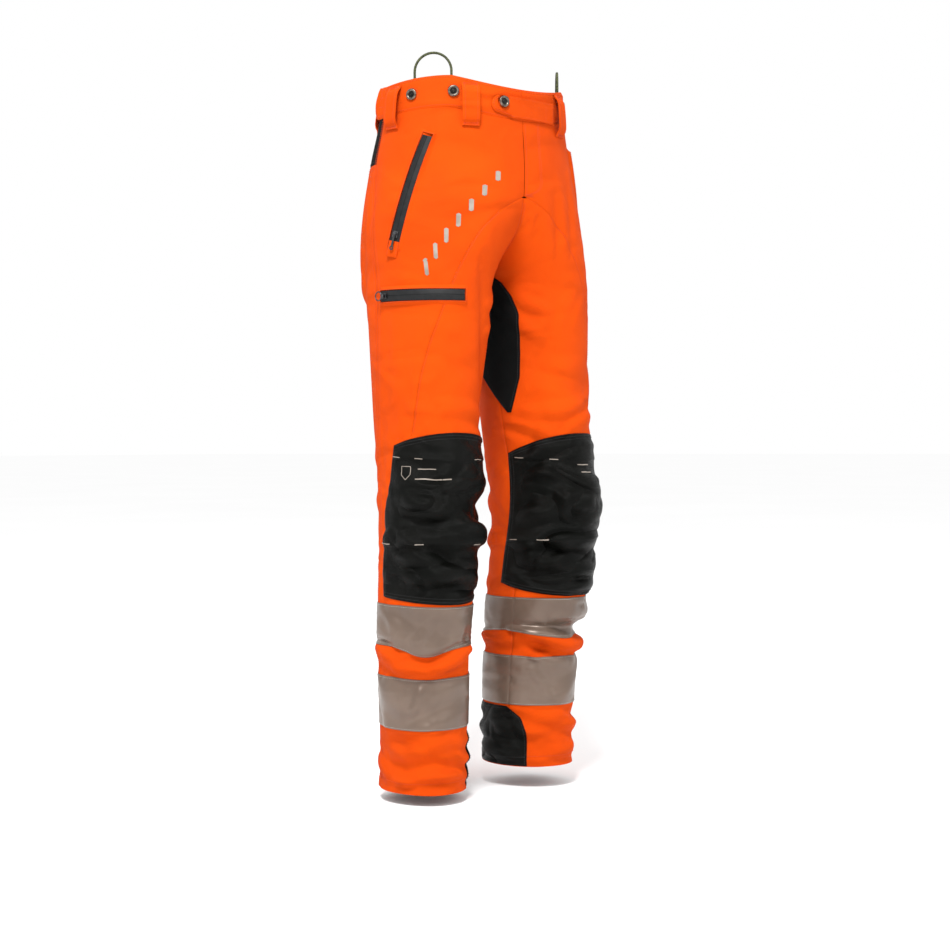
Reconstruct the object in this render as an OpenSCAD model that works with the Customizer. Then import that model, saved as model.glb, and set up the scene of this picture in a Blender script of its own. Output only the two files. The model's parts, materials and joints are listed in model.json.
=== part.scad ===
// High-visibility chainsaw trousers with front saw-protection pads.
// Millimetres. +Z is up, the wearer faces -Y, the wearer's right is -X.
// The origin is the centre of the waist opening, level with the side of the waistband.

/* [Fit] */
// Half of the waist width, side to side
waist_half = 156; // [150:1:162]
// Depth of the waist in front of the centre line
waist_front = 114; // [110:1:118]
// Thigh half width just below the crotch
thigh_half = 86; // [80:1:88]
// Knee half width
knee_half = 75; // [70:1:78]
// Hem half width
hem_half = 64; // [60:1:68]
// How far the wearer's left knee stands forward of the right one
left_knee_forward = 24; // [0:1:26]
// How much of the left shin is taken up in folds
left_gather = 18; // [0:1:20]

/* [Cloth] */
// Thickness of the outer cloth
cloth = 1.2; // [1:0.1:1.3]
// Thickness of the folded layers of saw-protection fibre
pad = 5; // [4:0.5:5]
// Thickness of the lining
lining = 1.3; // [1.2:0.1:1.5]
// Half of the gap between two panels at a seam, as an angle
seam_gap = 0.16; // [0.12:0.01:0.2]

/* [Trim] */
// Height of the waistband
band_h = 48; // [44:1:50]
// Height of each reflective band
reflective_h = 76; // [50:1:76]
// Width of a belt loop
loop_w = 27; // [18:1:29]
// Free space under a belt loop
loop_room = 8; // [7:0.5:9]
// Width of the waterproof zip tape
zip_w = 16; // [14:1:17]
// Outer diameter of the tack buttons
button_d = 17; // [15:0.5:17]
// Diameter of the elastic cord loops
cord_d = 4; // [3.5:0.1:4.5]

/* [Hidden] */

RIGHT = -1;
LEFT = 1;

// ---- shape of the garment --------------------------------------------------------------
// Each row is one level: depth below the waist, leg centre from the middle, half width,
// centre of the section in Y, depth to the front, depth to the back, toe-out in degrees,
// and how far the left leg stands forward.
lk = left_knee_forward;
LEVELS = [
  [   0,   0, waist_half,     10, waist_front,     112,  0, 0],
  [  50,   0, waist_half + 4, 12, waist_front + 4, 118,  0, 0],
  [ 130,  16, 157,            13, 124,             134,  0, 0],
  [ 200,  50, 134,            12, 126,             138,  0, 0],
  [ 280,  94, 94,              8, 120,             124,  0, 0],
  [ 350, 100, thigh_half,      4, 112,             110,  2, lk / 12],
  [ 450, 103, thigh_half - 6,  0,  98,              98,  6, lk / 3],
  [ 550, 104, knee_half + 2,  -4,  90,              90, 10, lk * 2 / 3],
  [ 650, 105, knee_half,      -8,  94,              86, 14, lk],
  [ 750, 106, knee_half - 2,  -4,  88,              82, 17, lk * 3 / 4],
  [ 850, 106, hem_half + 6,    0,  78,              80, 20, lk / 3],
  [ 960, 106, hem_half + 2,    0,  73,              77, 20, 0],
  [1070, 106, hem_half,        0,  72,              76, 20, 0]
];
LAST = len(LEVELS) - 1;
waist_seam = band_h + 1;
knee_top = 550;
knee_end = 750;
hem = 1070;

function clamp01(t) = max(0, min(1, t));
function ease(t) = let (c = clamp01(t)) c * c * (3 - 2 * c);
function mix(a, b, t) = a + (b - a) * t;
function span_of(d, i = 0) = (i < LAST - 1 && d >= LEVELS[i + 1][0]) ? span_of(d, i + 1) : i;
function slope(i, k) = (i == 0 || i == LAST) ? 0
  : (LEVELS[i + 1][k] - LEVELS[i - 1][k]) / (LEVELS[i + 1][0] - LEVELS[i - 1][0]);
// Column k of the level table at depth d, on a smooth curve through the rows
function at(d, k) = let (
    i = span_of(d), h = LEVELS[i + 1][0] - LEVELS[i][0],
    t = clamp01((d - LEVELS[i][0]) / h), t2 = t * t, t3 = t2 * t)
  (2 * t3 - 3 * t2 + 1) * LEVELS[i][k] + (t3 - 2 * t2 + t) * h * slope(i, k)
  + (3 * t2 - 2 * t3) * LEVELS[i + 1][k] + (t3 - t2) * h * slope(i + 1, k);

// The top edge dips at the centre front, sags a little at the hips and rises over the seat.
// The change fades out below the waistband.
function waist_rise(d, f) = let (q = f - 90)
  (q < 45 ? -14 * max(0, cos(2 * q)) : q < 100 ? -8 * ease((q - 45) / 55)
    : mix(-8, 14, ease((q - 100) / 80))) * (1 - ease((d - 60) / 80));
// The folds of the left shin lift everything below them.
function gather(side, d) = side == LEFT ? left_gather * ease((d - 770) / 130) : 0;

// Point of the garment: side, angle round the leg (0 inseam, 90 front, 180 outside,
// 270 back), depth below the waist, and offset outwards from the outer face of the cloth.
function spot(side, f, d, o) = let (
    a = at(d, 2), b = sin(f) > 0 ? at(d, 4) : at(d, 5), toe = at(d, 6),
    nx = cos(f) / a, ny = -sin(f) / b, n = norm([nx, ny]),
    x = a * cos(f) + o * nx / n, y = -b * sin(f) + o * ny / n,
    px = x * cos(toe) + y * sin(toe) - at(d, 1),
    py = -x * sin(toe) + y * cos(toe) + at(d, 3) - (side == LEFT ? at(d, 7) : 0))
  [-side * px, py, -d + gather(side, d) + waist_rise(d, f)];

// Angle at which the section reaches a plane g to one side of the middle, above the crotch
function middle(d, g = 0) = let (c = at(d, 1) - g, a = at(d, 2)) a > c ? acos(c / a) : 0;
function start_angle(d) = max(middle(d, 0.3), 0.5);
function end_angle(d) = 360 - start_angle(d);

// ---- seams, as angles that depend on depth ------------------------------------------------
function path(d, pts, i = 0) = i >= len(pts) - 1 ? pts[len(pts) - 1][1]
  : d <= pts[0][0] ? pts[0][1]
  : d <= pts[i + 1][0]
    ? mix(pts[i][1], pts[i + 1][1], (d - pts[i][0]) / (pts[i + 1][0] - pts[i][0]))
  : path(d, pts, i + 1);
FLY_END = 178;
FRONT_SEAM = [[178, 76], [200, 90], [230, 99], [280, 106], [340, 118], [400, 128], [450, 134],
  [550, 141]];
SIDE_SEAM = [[0, 192], [126, 192], [250, 187], [330, 184], [550, 190], [1070, 192]];
function front_seam(d) = d <= FLY_END ? start_angle(d) : path(d, FRONT_SEAM);
function side_seam(d) = path(d, SIDE_SEAM);

// ---- solids between two offsets of the garment ---------------------------------------------
// grid: rows from top to bottom of [side, angle, depth]
module cloth_solid(grid, low, high, flip) {
  nr = len(grid);
  nc = len(grid[0]);
  n = nr * nc;
  pts = [for (o = [high, low]) for (r = grid) for (g = r) spot(g[0], g[1], g[2], o)];
  function id(r, c, k) = k * n + r * nc + c;
  function quad(a, b, c, d) = flip ? [[a, c, b], [a, d, c]] : [[a, b, c], [a, c, d]];
  polyhedron(pts, [
    for (r = [0:nr - 2]) for (c = [0:nc - 2])
      for (t = quad(id(r, c, 0), id(r + 1, c, 0), id(r + 1, c + 1, 0), id(r, c + 1, 0))) t,
    for (r = [0:nr - 2]) for (c = [0:nc - 2])
      for (t = quad(id(r, c + 1, 1), id(r + 1, c + 1, 1), id(r + 1, c, 1), id(r, c, 1))) t,
    for (c = [0:nc - 2])
      for (t = quad(id(0, c, 0), id(0, c + 1, 0), id(0, c + 1, 1), id(0, c, 1))) t,
    for (c = [0:nc - 2])
      for (t = quad(id(nr - 1, c + 1, 0), id(nr - 1, c, 0), id(nr - 1, c, 1),
                    id(nr - 1, c + 1, 1))) t,
    for (r = [0:nr - 2])
      for (t = quad(id(r + 1, 0, 0), id(r, 0, 0), id(r, 0, 1), id(r + 1, 0, 1))) t,
    for (r = [0:nr - 2])
      for (t = quad(id(r, nc - 1, 0), id(r + 1, nc - 1, 0), id(r + 1, nc - 1, 1),
                    id(r, nc - 1, 1))) t
  ], convexity = 8);
}

// Depths from a to b in equal steps no longer than the given one
function steps(a, b, step) = let (n = ceil((b - a) / step)) [for (i = [0:n]) mix(a, b, i / n)];
// A grid whose rows are level and whose ends follow two angle curves
function level_grid(side, rows, from, to, n) =
  [for (d = rows) [for (j = [0:n]) [side, mix(from(d), to(d), j / n), d]]];
// A grid whose top and bottom edges are curves in u, 0 to 1 across
function shaped_grid(side, nr, nc, from, to, top, bottom) =
  [for (i = [0:nr]) [for (j = [0:nc]) let (u = j / nc, d = mix(top(u), bottom(u), i / nr))
    [side, mix(from(d), to(d), u), d]]];
function crossing_grid(rows, angle, n) = [for (d = rows) concat(
    [for (j = [0:n]) [RIGHT, mix(angle, 360 - middle(d), j / n), d]],
    [for (j = [1:n]) [LEFT, mix(360 - middle(d), angle, j / n), d]])];

module panel(side, rows, from, to, n, low = -cloth, high = 0)
  cloth_solid(level_grid(side, rows, from, to, n), low, high, side == LEFT);

// ---- colours ---------------------------------------------------------------------------------
ORANGE = "orangered";
BLACK = "#202224";
GREY = "#8c7869";
STEEL = "#a8a8a6";
LINER = "#3a3f45";

// ---- outer cloth above the knee -----------------------------------------------------------------
thigh_rows = concat([190, 200, 215, 230, 255, 270, 280, 291, 303], steps(315, knee_top, 39.2));
hip_rows = concat(steps(waist_seam + 1, FLY_END, 33), [FLY_END + 2], thigh_rows);
inner_rows = concat([FLY_END + 2], thigh_rows);
seat_top = 126;
seat_rows = concat(steps(seat_top, 270, 29), [280, 291, 303], steps(315, knee_top, 39.2));

module front_panel(side) color(ORANGE)
  panel(side, hip_rows, function(d) front_seam(d) + seam_gap,
    function(d) side_seam(d) - seam_gap, 9);
module inner_panel(side) color(ORANGE)
  panel(side, inner_rows, function(d) start_angle(d), function(d) front_seam(d) - seam_gap, 8);
module back_panel(side) color(ORANGE)
  panel(side, seat_rows, function(d) side_seam(d) + seam_gap, function(d) end_angle(d), 13);
module back_yoke() color(BLACK)
  cloth_solid(crossing_grid(steps(waist_seam + 1, seat_top - 0.8, 25),
    side_seam(waist_seam) + seam_gap, 9), -cloth, 0, false);

// The stretch gusset is a leaf sewn over the inseam.
GUSSET_MID = [[288, 7], [350, 3], [410, 0], [450, 4], [500, 10]];
GUSSET_HALF = [[288, 6], [320, 22], [350, 30], [410, 30], [446, 23], [475, 12], [500, 2]];
gusset_rows = [292, 303, 315, 332, 350, 370, 390, 410, 430, 450, 475, 500];
module gusset(side) color(BLACK)
  panel(side, gusset_rows, function(d) path(d, GUSSET_MID) - path(d, GUSSET_HALF),
    function(d) path(d, GUSSET_MID) + path(d, GUSSET_HALF), 6, 0.8, 2);

// ---- knee -------------------------------------------------------------------------------------------
knee_rows = steps(knee_top + 0.6, knee_end - 0.6, 34);
module knee_front(side) color(ORANGE)
  panel(side, knee_rows, function(d) 0.5, function(d) side_seam(d) - seam_gap, 16);
module knee_back(side) color(ORANGE)
  panel(side, knee_rows, function(d) side_seam(d) + seam_gap, function(d) 359.5, 14);
PATCH_IN = [[530, 4], [608, -4], [718, -16], [790, -22]];
PATCH_OUT = [[530, 158], [606, 167], [650, 176], [790, 171]];
module knee_patch(side) color(BLACK)
  cloth_solid(shaped_grid(side, 9, 24, function(d) path(d, PATCH_IN),
      function(d) path(d, PATCH_OUT),
      function(u) 534 + 24 * pow(abs(2 * u - 1.1), 2.2),
      function(u) 784 - 20 * pow(max(0, 1 - 2 * u), 2) - 8 * pow(max(0, 2 * u - 1), 2)),
    0.9, 2.4, side == LEFT);

// ---- outer cloth below the knee ----------------------------------------------------------------------
shin_rows = steps(knee_end, hem, 36);
module shin_front(side) color(ORANGE)
  panel(side, shin_rows, function(d) 0.5, function(d) side_seam(d) - seam_gap, 16);
module shin_back(side) color(ORANGE)
  panel(side, shin_rows, function(d) side_seam(d) + seam_gap, function(d) 359.5, 14);
upper_band_top = 789;
lower_band_top = 898;
module reflective_band(side, top) color(GREY)
  panel(side, steps(top, top + reflective_h, 26), function(d) 0.6, function(d) 359.4, 36,
    0.9, 1.5);
ANKLE_OUT = [[976, -4], [994, 16], [1016, 24], [1070, 24]];
module ankle_patch(side) color(BLACK)
  panel(side, [977, 986, 995, 1016, 1043, 1069], function(d) -70,
    function(d) path(d, ANKLE_OUT), 10, 0.8, 2);

// ---- layers inside --------------------------------------------------------------------------------------
bag_out = -2.4;
pad_out = -4.6;
lining_out = pad_out - pad - 3.4;
pad_rows = concat(steps(110, 230, 40), [244, 257, 270, 285, 300], steps(318, 1020, 64));
module hip_bag(side) color(LINER)
  panel(side, steps(84, 262, 30), function(d) 118, function(d) side_seam(d) - 6, 8,
    bag_out - 0.8, bag_out);
module thigh_bag() color(LINER)
  panel(RIGHT, steps(318, 500, 46), function(d) 96, function(d) side_seam(d) - 4, 8,
    bag_out - 0.8, bag_out);
// The lining stops short of the fly pieces at the centre front.
LINING_FRONT = [[54, 10], [195, 10], [240, 0.6]];
// One pad of saw-protection fibre goes from the hip to just above each hem.
module saw_pad(side) color("gainsboro")
  panel(side, pad_rows,
    function(d) d < 300 ? start_angle(d) + 5 : max(2, 6 - (d - 300) / 20),
    function(d) side_seam(d) - 2, 18, pad_out - pad, pad_out);
module leg_lining(side) color(LINER)
  panel(side, concat([54, 82], pad_rows, [1060]),
    function(d) start_angle(d) + path(d, LINING_FRONT), function(d) end_angle(d) - 0.6, 18,
    lining_out - lining, lining_out);

// ---- waistband ---------------------------------------------------------------------------------------------
module waistband_front(side) color(ORANGE)
  panel(side, steps(0, band_h, 16), function(d) start_angle(d), function(d) 184 - seam_gap, 14,
    -2.2, 0.4);
module waistband_back() color(ORANGE)
  cloth_solid(crossing_grid(steps(0, band_h, 16), 184 + seam_gap, 11), -2.2, 0.4, false);

// Frame on the garment: x outwards, y along the level line to the wearer's left, z up
module on_cloth(side, f, d, o = 0) {
  p = spot(side, f, d, o);
  n = spot(side, f, d, o + 1) - p;
  translate(p) rotate([0, 0, atan2(n[1], n[0])]) children();
}

LOOPS = [[RIGHT, 124], [RIGHT, 178], [RIGHT, 228], [LEFT, 124], [LEFT, 178], [LEFT, 228],
  [LEFT, 270]];
loop_top = 5;
loop_h = 66;
loop_foot = 9;
strap = 1.6;
// The strap lies on the cloth at both sewn ends and stands clear of it between them.
module belt_loop(side, f) {
  p = spot(side, f, loop_top, 0);
  n = spot(side, f, loop_top, 1) - p;
  // a point of the strap's edge: o out of the cloth at depth d
  function edge(d, o) = let (q = spot(side, f, d, 0)) [(q - p) * n + o, q[2] - p[2]];
  a = loop_top;
  b = loop_top + loop_h;
  out = loop_room + strap;
  lie = 1.4;
  on_cloth(side, f, loop_top) rotate([90, 0, 0]) translate([0, 0, -loop_w / 2])
    linear_extrude(loop_w) polygon([
      edge(a, lie), edge(a, lie + strap), edge(a + loop_foot, out), edge((a + b) / 2, out + 1),
      edge(b - loop_foot, out), edge(b, lie + strap), edge(b, lie), edge(b - 3, lie),
      edge(b - loop_foot - 1, loop_room), edge((a + b) / 2, loop_room + 1),
      edge(a + loop_foot + 1, loop_room), edge(a + 3, lie)]);
}
module belt_loops() color(ORANGE) for (l = LOOPS) belt_loop(l[0], l[1]);

// ---- buttons --------------------------------------------------------------------------------------------------
head_h = 2.4;
// Donut tack button along +x: shank, ring head with a sunk middle
module tack_button(shank) rotate([0, 90, 0]) {
  cylinder(d = 7, h = shank + 0.2, $fn = 48);
  translate([0, 0, shank]) difference() {
    cylinder(d = button_d, h = head_h, $fn = 64);
    translate([0, 0, 1]) cylinder(d = button_d - 8, h = head_h, $fn = 64);
  }
  translate([0, 0, shank + 0.8]) difference() {
    cylinder(d = 5, h = 1, $fn = 48);
    translate([0, 0, 0.3]) cylinder(d = 2.4, h = 2, $fn = 32);
  }
}
brace_depth = 24;
module brace_buttons() color(STEEL)
  for (side = [RIGHT, LEFT]) for (f = [134, 162])
    on_cloth(side, f, brace_depth, 0.8) tack_button(2.2);
closure_at = 104;
closure_depth = 24;
module closure_button() color(STEEL)
  on_cloth(RIGHT, closure_at, closure_depth, 0.8) tack_button(5.2);

// ---- arcs through three points, for the zips and the tab --------------------------------------------------------
function unit(v) = v / norm(v);
function arc_of(p, q, r) = let (
    a = q - p, b = r - p, n = unit(cross(a, b)), e1 = unit(a), e2 = cross(n, e1),
    bx = b * e1, by = b * e2, ax = norm(a),
    ux = ax / 2, uy = (bx * bx + by * by - ax * bx) / (2 * by),
    c = p + ux * e1 + uy * e2)
  [c, n, norm([ux, uy]), unit(p - c),
    acos(max(-1, min(1, unit(p - c) * unit(r - c))))];
// Children stand at angle t along the arc: x away from the centre, y along, z on the axis
module arc_frame(arc, t = 0) {
  c = arc[0]; n = arc[1]; x = arc[3]; y = cross(n, x);
  multmatrix([[x[0], y[0], n[0], c[0]], [x[1], y[1], n[1], c[1]], [x[2], y[2], n[2], c[2]]])
    rotate([0, 0, t]) children();
}
module arc_strip(arc, tilt, from, to, low, high, width)
  arc_frame(arc, from) rotate_extrude(angle = to - from, $fn = 720)
    translate([arc[2], 0]) rotate(tilt) translate([low, -width / 2])
      square([high - low, width]);

// ---- waist tab ------------------------------------------------------------------------------------------------------
tab_low = 2.6;
tab_high = 4.2;
tab_depth = 24;
tab_h = 34;
// The arc is level: from the sewn end, past the centre front, to the pointed end.
tab_sewn = spot(LEFT, 117, tab_depth, 0);
tab_tip = spot(RIGHT, 112, tab_depth, 0);
tab_arc = arc_of(tab_sewn, [0, spot(LEFT, 90, tab_depth, 0)[1], tab_sewn[2]],
  [tab_tip[0], tab_tip[1], tab_sewn[2]]);
tab_drop = -11;
module waist_tab() color(ORANGE) difference() {
  translate([0, 0, tab_drop]) arc_strip(tab_arc, 0, 0, tab_arc[4], tab_low, tab_high, tab_h);
  // pointed end
  on_cloth(RIGHT, 112, tab_depth, 3) for (m = [0, 1]) mirror([0, 0, m])
    translate([-20, 0, 0]) rotate([40, 0, 0]) translate([0, -40, 6]) cube([40, 80, 60]);
  // buttonhole, drawn open to the size at which the button goes through
  on_cloth(RIGHT, closure_at, closure_depth, 0) rotate([0, 90, 0])
    cylinder(d = button_d + 1.2, h = 30, center = true, $fn = 64);
}

// ---- sliders and pulls: x out of the cloth, y along the zip, z across ------------------------------------------------
slider_gap = 0.3;
pin_r = 0.7;
pin_x = 4.4;
module slider_body() {
  difference() {
    hull_plate(10, 8.4, 2.2);
    for (m = [0, 1]) mirror([0, 0, m]) translate([-1, -8, 3.1]) rotate([14, 0, 0])
      cube([5, 16, 4]);
  }
  for (m = [0, 1]) mirror([0, 0, m]) translate([2, -1.6, 1.7]) cube([3.6, 3.2, 1]);
  translate([pin_x, 0, 0]) cylinder(r = pin_r, h = 5, center = true, $fn = 32);
}
// Plate of the given length and width with round ends
module hull_plate(l, w, t) rotate([0, 90, 0]) linear_extrude(t) intersection() {
  square([w, l], center = true);
  circle(d = l + 2.4, $fn = 64);
}
module pull_eye() difference() {
  cylinder(r = 1.75, h = 3, center = true, $fn = 40);
  cylinder(r = pin_r + 0.08, h = 4, center = true, $fn = 40);
}
// Flat pull along -y with a cord hole at its end
module flat_pull(l) difference() {
  union() {
    pull_eye();
    translate([-0.2, -l + 3, 0]) rotate([0, 90, 0]) linear_extrude(1.2, center = true)
      union() {
        translate([-1.5, 0]) square([3, l - 4.4]);
        circle(d = 6.4, $fn = 40);
      }
  }
  translate([-0.2, -l + 3, 0]) rotate([0, 90, 0]) cylinder(d = 2.6, h = 4, center = true, $fn = 32);
  cylinder(r = pin_r + 0.08, h = 4, center = true, $fn = 40);
}

// ---- hip pockets --------------------------------------------------------------------------------------------------------
hip_top = [94, 148];
hip_bottom = [248, 163];
function hip_point(side, t) = spot(side, mix(hip_bottom[1], hip_top[1], t),
  mix(hip_bottom[0], hip_top[0], t), 1.6);
function hip_arc(side) = arc_of(hip_point(side, 0), hip_point(side, 0.5), hip_point(side, 1));
// Angle between the arc's own radius and the cloth's normal, about the arc's tangent
function hip_tilt(side) = let (
    arc = hip_arc(side), m = hip_point(side, 0.5), r = unit(m - arc[0]),
    t = cross(arc[1], r), f = (hip_top[1] + hip_bottom[1]) / 2,
    d = (hip_top[0] + hip_bottom[0]) / 2,
    along = unit(spot(side, f + 2, d, 0) - spot(side, f - 2, d, 0)),
    down = unit(spot(side, f, d + 4, 0) - spot(side, f, d - 4, 0)),
    raw = unit(cross(along, down)), n = raw * r > 0 ? raw : -raw)
  atan2(n * arc[1], n * r);
module hip_zip(side) color(BLACK)
  arc_strip(hip_arc(side), hip_tilt(side), -0.6, hip_arc(side)[4] + 0.2, 0.2, 1, zip_w);
module hip_slider(side) color(STEEL)
  arc_frame(hip_arc(side), slide_angle(side)) translate([hip_arc(side)[2], 0, 0])
    rotate([0, -hip_tilt(side), 0]) translate([1 + slider_gap, 0, 0]) slider_body();
function slide_angle(side) = asin(8 / hip_arc(side)[2]);
module hip_pull(side) color(BLACK)
  arc_frame(hip_arc(side), slide_angle(side)) translate([hip_arc(side)[2], 0, 0])
    rotate([0, -hip_tilt(side), 0]) translate([1 + slider_gap + pin_x, 0, 0]) flat_pull(24);
// Cloth hood sewn on below the zip's lower end
module hip_garage(side) color(ORANGE)
  arc_frame(hip_arc(side), 0) translate([hip_arc(side)[2], 0, 0])
    rotate([0, -hip_tilt(side), 0]) translate([0.2, -26, -zip_w / 2 - 1])
      cube([1.4, 10, zip_w + 2]);

// ---- thigh pocket ----------------------------------------------------------------------------------------------------------
thigh_depth = 331;
thigh_out = 176;
thigh_in = 100;
function thigh_point(f) = spot(RIGHT, f, thigh_depth, 2.4);
thigh_arc = arc_of(thigh_point(thigh_out), thigh_point(138), thigh_point(thigh_in));
module thigh_zip() color(BLACK)
  arc_strip(thigh_arc, 0, 0, thigh_arc[4], 0.2, 1, zip_w);
thigh_park = 5;
module thigh_slider() color(STEEL)
  arc_frame(thigh_arc, thigh_park) translate([thigh_arc[2] + 1 + slider_gap, 0, 0])
    slider_body();
module thigh_ring() color(STEEL)
  arc_frame(thigh_arc, thigh_park) translate([thigh_arc[2] + 1 + slider_gap + pin_x, 0, 0]) {
    pull_eye();
    translate([0.5, -9.2, 0]) rotate([0, 90, 0]) rotate_extrude($fn = 64) translate([6.6, 0])
      circle(r = 0.95, $fn = 24);
  }

// ---- fly: the zip is a straight strip behind the centre front seam ---------------------------------------------------------------
fly_top = 66;
fly_len = 104;
fly_front = spot(RIGHT, middle(66), 66, 0);
fly_low = spot(RIGHT, middle(170), 170, 0);
fly_lean = atan2(fly_low[1] - fly_front[1], fly_front[2] - fly_low[2]);
module fly_frame() translate([0, fly_front[1], fly_front[2]]) rotate([fly_lean, 0, 0])
  rotate([0, 0, -90]) rotate([90, 0, 0]) children();
module fly_zip() color(BLACK) fly_frame()
  translate([-12.4, -fly_len, -13]) cube([1, fly_len + 8, 26]);
module fly_slider() color(STEEL) fly_frame() translate([-11.4 + slider_gap, -6, 0]) slider_body();
module fly_pull() color(STEEL) fly_frame()
  translate([-11.4 + slider_gap + pin_x, -6, 0]) flat_pull(20);
module fly_shield() color(ORANGE) fly_frame()
  translate([-15.4, -fly_len - 4, -19]) cube([1.2, fly_len + 12, 38]);

// ---- cord loops ------------------------------------------------------------------------------------------------------------------------
loop_span = 56;
loop_leg = 16;
// Distance of the loop's middle inside the waistband's outer face
cord_in = 9;
// Elastic cord held in the top of the waistband above each pair of brace buttons
module cord_loop(side) color(BLACK) {
  p = spot(side, 148, 0, -cord_in);
  n = spot(side, 148, 0, 1 - cord_in) - p;
  translate(p) rotate([0, 0, atan2(n[1], n[0])]) rotate([0, 90, 0]) rotate([0, 0, 90]) {
    translate([0, loop_leg - 8, 0]) rotate_extrude(angle = 180, $fn = 96)
      translate([loop_span / 2, 0]) circle(d = cord_d, $fn = 32);
    for (m = [0, 1]) mirror([m, 0, 0]) translate([loop_span / 2, loop_leg - 8, 0])
      rotate([90, 0, 0]) cylinder(d = cord_d, h = loop_leg, $fn = 32);
  }
}

// ---- transfer print: plain slanted bars running up the right hip ---------------------------------------------------------------------------
print_bars = 7;
module thigh_print() color(GREY)
  for (i = [0:print_bars - 1]) let (t = i / (print_bars - 1), d = mix(290, 150, t),
      f = mix(136, 101, t), h = mix(26, 15, t))
    cloth_solid(shaped_grid(RIGHT, 2, 2, function(x) f - 1.6 - (x - d) / 9,
        function(x) f + 1.6 - (x - d) / 9, function(u) d - h / 2, function(u) d + h / 2),
      0.3, 0.6, false);

front_panel(RIGHT);  // front_panel_right
front_panel(LEFT);  // front_panel_left
inner_panel(RIGHT);  // inner_panel_right
inner_panel(LEFT);  // inner_panel_left
back_panel(RIGHT);  // back_panel_right
back_panel(LEFT);  // back_panel_left
back_yoke();
gusset(RIGHT);  // gusset_right
gusset(LEFT);  // gusset_left
waistband_front(RIGHT);  // waistband_right
waistband_front(LEFT);  // waistband_left
waistband_back();
belt_loops();
waist_tab();
closure_button();
brace_buttons();
fly_shield();
fly_zip();
fly_slider();
fly_pull();
hip_zip(RIGHT);  // hip_zip_right
hip_slider(RIGHT);  // hip_slider_right
hip_pull(RIGHT);  // hip_pull_right
hip_garage(RIGHT);  // hip_garage_right
hip_bag(RIGHT);  // hip_bag_right
hip_zip(LEFT);  // hip_zip_left
hip_slider(LEFT);  // hip_slider_left
hip_pull(LEFT);  // hip_pull_left
hip_garage(LEFT);  // hip_garage_left
hip_bag(LEFT);  // hip_bag_left
thigh_zip();
thigh_slider();
thigh_ring();
thigh_bag();
knee_front(RIGHT);  // knee_front_right
knee_front(LEFT);  // knee_front_left
knee_back(RIGHT);  // knee_back_right
knee_back(LEFT);  // knee_back_left
knee_patch(RIGHT);  // knee_patch_right
knee_patch(LEFT);  // knee_patch_left
shin_front(RIGHT);  // shin_front_right
shin_front(LEFT);  // shin_front_left
shin_back(RIGHT);  // shin_back_right
shin_back(LEFT);  // shin_back_left
reflective_band(RIGHT, upper_band_top);  // upper_band_right
reflective_band(LEFT, upper_band_top);  // upper_band_left
reflective_band(RIGHT, lower_band_top);  // lower_band_right
reflective_band(LEFT, lower_band_top);  // lower_band_left
ankle_patch(RIGHT);  // ankle_patch_right
ankle_patch(LEFT);  // ankle_patch_left
saw_pad(RIGHT);  // saw_pad_right
saw_pad(LEFT);  // saw_pad_left
leg_lining(RIGHT);  // lining_right
leg_lining(LEFT);  // lining_left
cord_loop(RIGHT);  // cord_loop_right
cord_loop(LEFT);  // cord_loop_left
thigh_print();
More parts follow.
